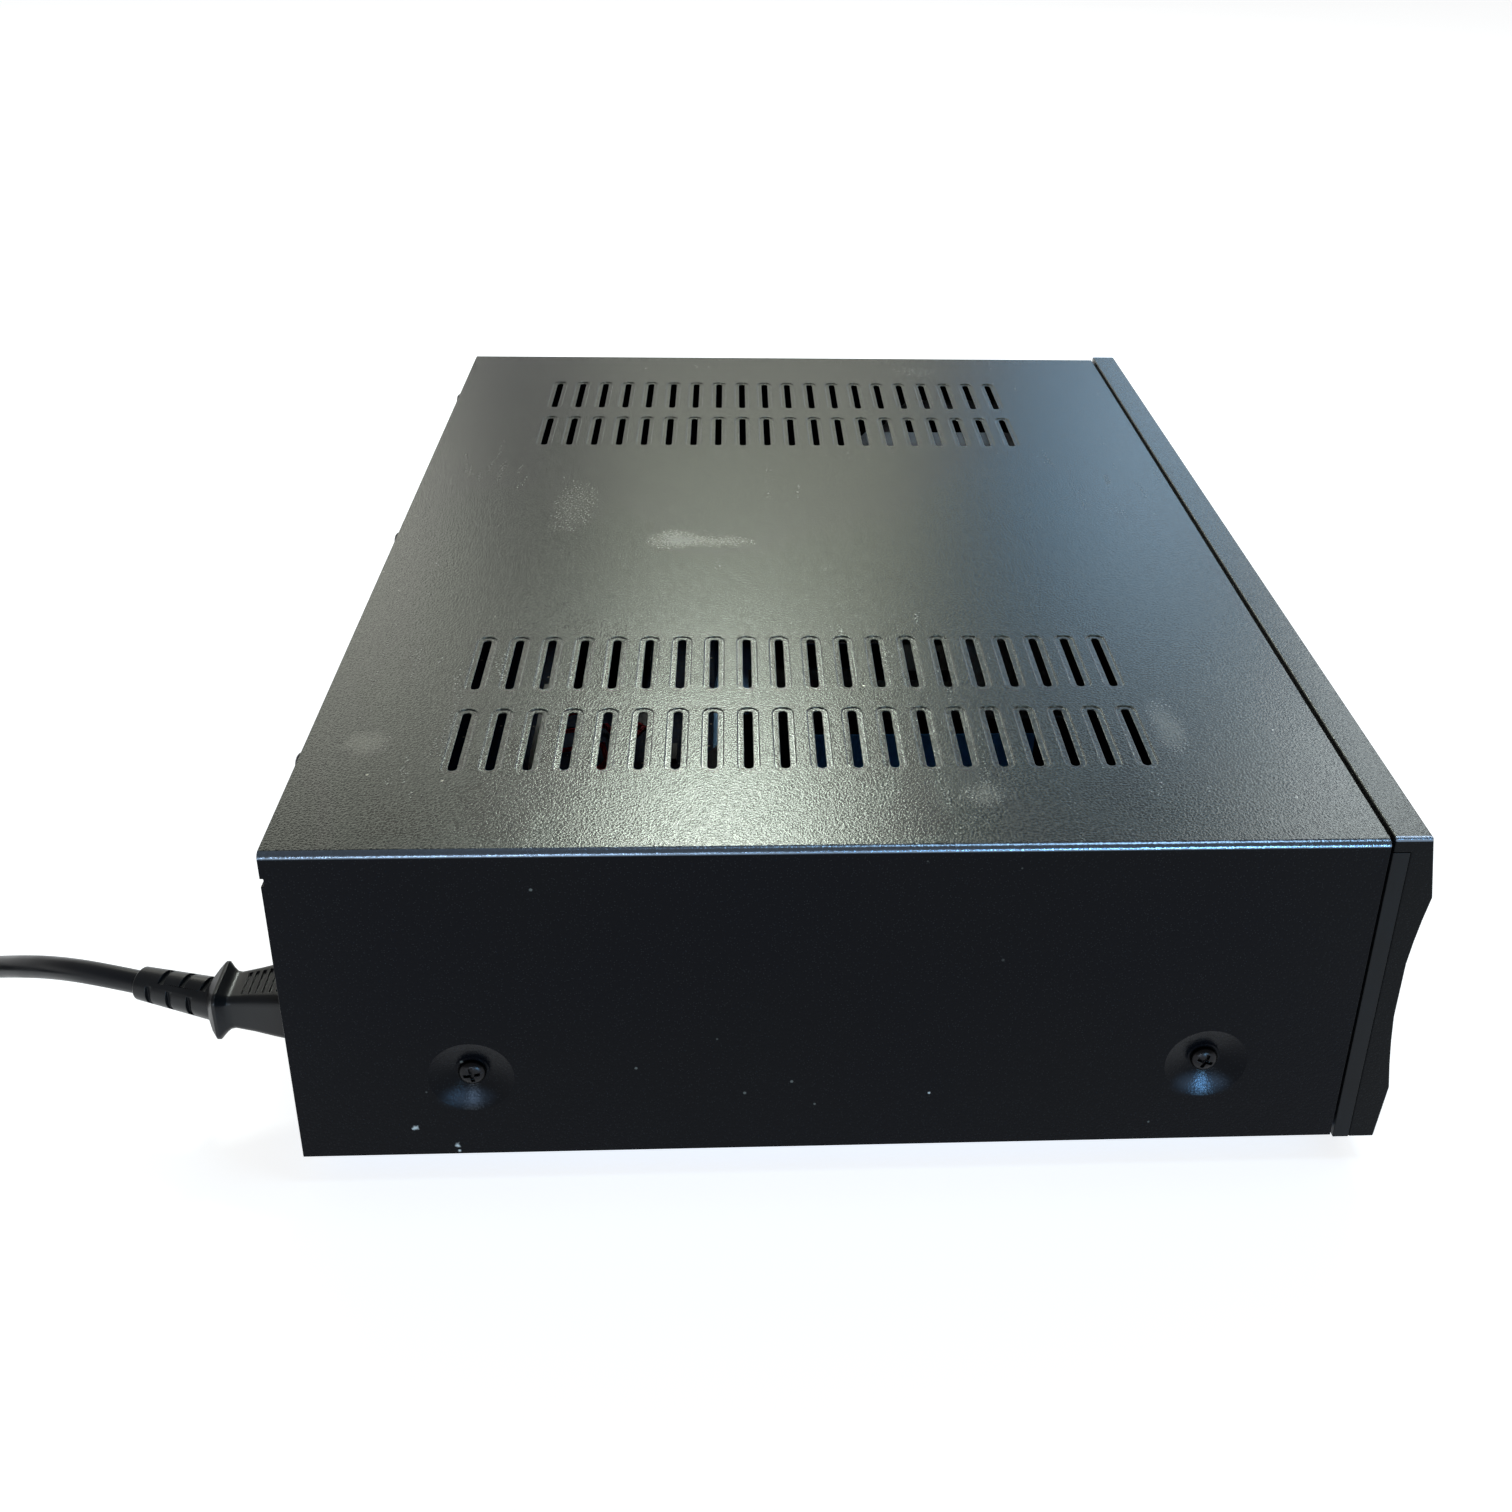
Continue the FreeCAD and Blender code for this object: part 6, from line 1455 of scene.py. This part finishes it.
@dataclass
class Screws(Assembly):
    """Pan-head screws with cross recesses, in the dishes and the rear lip."""

    head_radius: float = 4.2
    head_height: float = 2.4
    shank_radius: float = 1.5
    shank_length: float = 5.0
    recess_width: float = 1.1
    recess_reach: float = 2.5
    recess_depth: float = 1.3
    seat_depth: float = 3.0
    sides: int = 32
    turn: Pair = (23.0, 31.0)
    ease: Pair = (0.12, 40.0)

    def profile(self) -> list[Pair]:
        """Returns the screw's half section, head up."""
        r, h, end = self.head_radius, self.head_height, -self.shank_length
        head = [(0, h), (r * 0.45, h * 0.97), (r * 0.75, h * 0.85), (r * 0.93, h * 0.6)]
        shank = [(r, h * 0.3), (r, 0.0), (self.shank_radius, 0.0), (self.shank_radius, end)]
        return head + shank + [(0, end)]

    def places(self) -> list[tuple[Vector, Vector]]:
        """Returns each screw's seat and the way its head faces."""
        places = [(seat, -inwards) for seat, inwards in dish_seats(-self.seat_depth)]
        rear = [at(x, COVER_DEPTH, REAR_SCREW_HEIGHT) for x in REAR_SCREWS]
        return places + [(seat, Axis.Y.vector) for seat in rear]

    def build(self) -> None:
        """Makes all screws as one piece in place of their node."""
        shape, recess = Shape(), Shape()
        half = (self.recess_reach, self.recess_width / 2)
        for i, (seat, way) in enumerate(self.places()):
            shape.turned(self.profile(), seat, way, self.sides)
            top = seat + way * ((self.head_height - self.recess_depth) / 1000)
            first = way.orthogonal().normalized()
            turn = Matrix.Rotation(math.radians(self.turn[0] + self.turn[1] * i), 3, way)
            for arm in (turn @ first, turn @ way.cross(first)):
                corners = rectangle(top, arm, way.cross(arm), half)
                recess.prism(corners, way * (2 * self.recess_depth / 1000))
        screws = shape.object("cover_screw_set")
        combined(screws, recess.object("tool"), Cut.AWAY, crossed=True)
        softened(screws, *self.ease)
        self.paint.dress(screws, BLACK_STEEL, CASING, "cover_screws")
        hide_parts("cover_screws")


@dataclass
class Connector(Assembly):
    """The moulded connector in the inlet, with a ribbed grip and a slotted strain relief."""

    face: float = REAR_FACE + 1.8
    nose: Triple = (11.8, 7.9, 14.2)
    ribs: int = 10
    ring_count: int = 6
    ring_pitch: float = 3.85
    relief_radii: Pair = (6.8, 5.2)
    grip_height: Pair = (8.8, 2.5)
    groove_width: Pair = (7.2, 2.0)
    groove_depth: float = 1.0
    ease: float = 0.14
    ring_depth: float = 1.5
    ring_first: float = 3.5
    ring_half: Pair = (1.0, 3.5)

    def grip(self) -> Shape:
        """Returns the grip, from its flat face to behind the collar."""
        sections = (
            (self.face, 11.2, 8.4, 2.6),
            (self.face + 0.5, 11.7, 8.9, 3.0),
            (self.face + 8, 11.4, 8.8, 3.0),
            (COLLAR_Y - 19, 10.4, 8.1, 3.0),
            (COLLAR_Y - 12, 8.9, 7.0, 2.8),
            (COLLAR_Y - 6, 7.9, 6.2, 2.6),
            (COLLAR_Y - 4.5, 8.1, 6.4, 2.6),
            (COLLAR_Y - 3.2, 9.0, 7.3, 2.8),
            (COLLAR_Y - 1.7, 10.5, 8.8, 3.2),
            (COLLAR_Y - 0.7, 10.5, 8.8, 3.2),
            (COLLAR_Y + 0.8, 8.9, 7.6, 3.6),
            (COLLAR_Y + 2.0, 7.0, 6.9, 5.4),
        )
        outlines = [
            rounded_box(at(INLET_X, y, INLET_Z), Axis.X.vector, Axis.Z.vector, (w, h), c, 5)
            for y, w, h, c in sections
        ]
        return Shape().lofted(outlines)

    def relief(self) -> Object:
        """Returns the strain relief with rings of staggered slots."""
        way = Vector((math.sin(RELIEF_TURN), math.cos(RELIEF_TURN), 0))
        start = at(INLET_X, COLLAR_Y, INLET_Z)
        first, last = self.relief_radii
        profile = [(0, 0.0), (first, 0.0), (last + 0.15, SLEEVE_LENGTH - 0.6)]
        profile += [(last - 0.4, SLEEVE_LENGTH), (0, SLEEVE_LENGTH)]
        sleeve = Shape().turned(profile, start, way, 40).object("relief_sleeve")
        tool = Shape()
        across = Axis.Z.vector.cross(way).normalized()
        for ring in range(self.ring_count):
            along = self.ring_first + ring * self.ring_pitch
            floor = first + (last - first) * along / SLEEVE_LENGTH - self.ring_depth
            for side in SIDES:
                out = (across if ring % 2 else Axis.Z.vector) * side
                middle = start + way * (along / 1000) + out * (floor / 1000)
                tool.prism(rectangle(middle, way, way.cross(out), self.ring_half), out * 0.004)
        combined(sleeve, tool.object("ring_tool"), Cut.AWAY)
        return sleeve

    def build(self) -> None:
        """Makes the connector in place of its node."""
        grip = self.grip().object("cord_connector_grip")
        grooves = Shape()
        first, last = self.face + 3.0, COLLAR_Y - 7.5
        step = (last - first) / self.ribs
        for i in range(self.ribs):
            y = first + i * step
            half = self.groove_width[0] - self.groove_width[1] * i / (self.ribs - 1)
            share = max(0.0, (y - self.face - 8) / (COLLAR_Y - 14 - self.face))
            height = self.grip_height[0] - self.grip_height[1] * share
            for side in SIDES:
                inner = INLET_Z + side * (height - self.groove_depth)
                low, high = sorted((inner, INLET_Z + side * 12))
                grooves.block((INLET_X - half, y, low), (INLET_X + half, y + step * 0.5, high))
        combined(grip, grooves.object("groove_tool"), Cut.AWAY)
        half_width, half_height, depth = self.nose
        low = (INLET_X - half_width, self.face - depth, INLET_Z - half_height)
        high = (INLET_X + half_width, self.face + 1, INLET_Z + half_height)
        combined(grip, Shape().block(low, high).object("nose_tool"), Cut.TOGETHER)
        combined(grip, self.relief(), Cut.TOGETHER)
        softened(grip, self.ease)
        self.paint.dress(grip, GRIP_SKIN, CASING, "cord_connector")
        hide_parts("cord_connector")


@dataclass(frozen=True)
class Lamp:
    """One soft lamp: where it hangs, its size in metres, its power in watts and its colour."""

    name: str
    place: Triple
    size: float
    power: float
    colour: Colour = (1.0, 1.0, 1.0)

    def build(self) -> None:
        """Makes the lamp, turned towards the object."""
        data = bpy.data.lights.new(self.name, "AREA")
        data.size = self.size
        data.energy = self.power
        data.color = self.colour
        lamp = placed(self.name, data)
        lamp.visible_camera = False
        lamp.location = self.place
        way = Vector((0, 0, 0.06)) - Vector(self.place)
        lamp.rotation_euler = way.to_track_quat("-Z", "Y").to_euler()


@dataclass
class Softened(Assembly):
    """A node's own form with its sharp edges eased."""

    node: str
    ease: float

    def build(self) -> None:
        """Makes the eased copy in place of the node."""
        node = frame["nodes"][self.node]
        shape = Shape()
        shape.mesh.from_mesh(node.data)
        shape.sealed()
        flat = {"angle_limit": math.radians(0.5), "use_dissolve_boundaries": False}
        mesh = shape.mesh
        bmesh.ops.dissolve_limit(mesh, verts=mesh.verts, edges=mesh.edges, **flat)
        piece = shape.object(self.node + "_eased")
        softened(piece, self.ease, 32.0, clamped=True)
        self.paint.dress(piece, NODE_FINISHES[self.node], body_of(node)[0], self.node)
        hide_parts(self.node)


EASES = {
    "front_fascia": 0.5,
    "tray_door": 0.4,
    "power_button": 0.4,
    "play_button": 0.3,
    "stop_button": 0.3,
    "open_button": 0.4,
    "rear_panel": 0.12,
    "front_frame": 0.3,
    "mains_plug": 0.5,
    "mains_inlet": 0.3,
    "disc_tray": 0.3,
    "foot_front_left": 0.8,
    "foot_front_right": 0.8,
    "foot_rear_left": 0.8,
    "foot_rear_right": 0.8,
}


@dataclass
class Studio:
    """Plain floor, soft lamps and an even world, white where they are seen or mirrored."""

    floor_size: float = 14.0
    floor_colour: Colour = (0.64, 0.64, 0.64)
    floor_glow: float = 0.78
    world: float = 0.25
    backdrop: Pair = (0.12, 0.28)
    lamps: tuple[Lamp, ...] = (
        Lamp("key_lamp", (1.67, 0.05, 1.61), 0.3, 17.0, (0.93, 1.0, 0.94)),
        Lamp("middle_lamp", (2.05, -0.03, 1.18), 0.6, 2.0, (0.95, 1.0, 0.78)),
        Lamp("warm_lamp", (2.0, 0.88, 1.2), 0.8, 5.2, (1.0, 1.0, 0.9)),
        Lamp("cool_lamp", (1.95, -0.95, 1.15), 0.8, 3.4, (0.64, 0.82, 1.0)),
        Lamp("sky_lamp", (2.15, -0.68, 0.95), 0.5, 1.3, (0.2, 0.58, 1.0)),
        Lamp("corner_lamp", (1.65, -1.1, 1.4), 0.4, 5.0, (0.92, 0.97, 1.0)),
        Lamp("top_lamp", (-0.2, -0.6, 2.25), 0.7, 12.0, (0.6, 0.83, 1.0)),
        Lamp("low_front_lamp", (-2.3, -0.69, 0.12), 0.35, 20.0, (0.3, 0.66, 1.0)),
        Lamp("low_rear_lamp", (-2.3, 0.43, 0.12), 0.35, 7.0, (0.7, 0.85, 1.0)),
    )

    def build(self) -> None:
        """Makes the floor, the world and the lamps."""
        self.floor()
        self.surroundings()
        for lamp in self.lamps:
            lamp.build()
        bpy.context.scene.view_settings.view_transform = "Standard"

    def seen(self, graph: Graph) -> Value:
        """Tells which rays show things.

        Args:
            graph: The node tree.

        Returns:
            One for rays from the camera, a mirror or glass, else nought.
        """
        path = graph.node("ShaderNodeLightPath")
        names = ("Is Camera Ray", "Is Glossy Ray", "Is Transmission Ray")
        camera, mirror, glass = (Value(graph, path.outputs[name]) for name in names)
        return camera.at_least(mirror).at_least(glass)

    def floor(self) -> None:
        """Makes the pale floor, which glows a little where it is seen and keeps its shadows."""
        shape = Shape()
        bmesh.ops.create_grid(shape.mesh, x_segments=1, y_segments=1, size=self.floor_size / 2)
        data = bpy.data.meshes.new("floor")
        shape.mesh.to_mesh(data)
        shape.mesh.free()
        graph = Surface("floor_finish")
        dapple = graph.noise(graph.place(), 3.0)
        graph.shade(
            Base_Color=graph.mixed(dapple, self.floor_colour, scaled(self.floor_colour, 1.02)),
            Roughness=0.9,
            Specular_IOR_Level=0.1,
            Emission_Color=WHITE,
            Emission_Strength=self.seen(graph) * self.floor_glow,
        )
        data.materials.append(graph.material)
        placed("floor", data)

    def surroundings(self) -> None:
        """Makes the world: even light, and a white backdrop where it is seen or mirrored."""
        world = bpy.data.worlds.new("surroundings")
        bpy.context.scene.world = world
        world.use_nodes = True
        graph = Graph(world.node_tree)
        height = graph.parts(graph.value("ShaderNodeTexCoord", output="Generated"))[2]
        shown = self.seen(graph) * height.fitted(*self.backdrop, 1.0, 0.0, "LINEAR")
        strength = shown.fitted(0.0, 1.0, self.world, 1.0, "LINEAR")
        inputs = {"Color": opaque(WHITE), "Strength": strength}
        shade = graph.value("ShaderNodeBackground", {}, inputs)
        graph.node("ShaderNodeOutputWorld", {}, {"Surface": shade})


def main() -> None:
    """Builds every sub-assembly in order."""
    logging.basicConfig(level=logging.INFO, format="%(name)s: %(message)s")
    paint = Paintshop()
    Viewpoint().build()
    MainsCord(paint).build()
    paint.dress_nodes()
    for kind in (Cover, Screws, Connector):
        kind(paint).build()
    for node, ease in EASES.items():
        Softened(paint, node, ease).build()
    Studio().build()


if __name__ == "__main__":
    main()
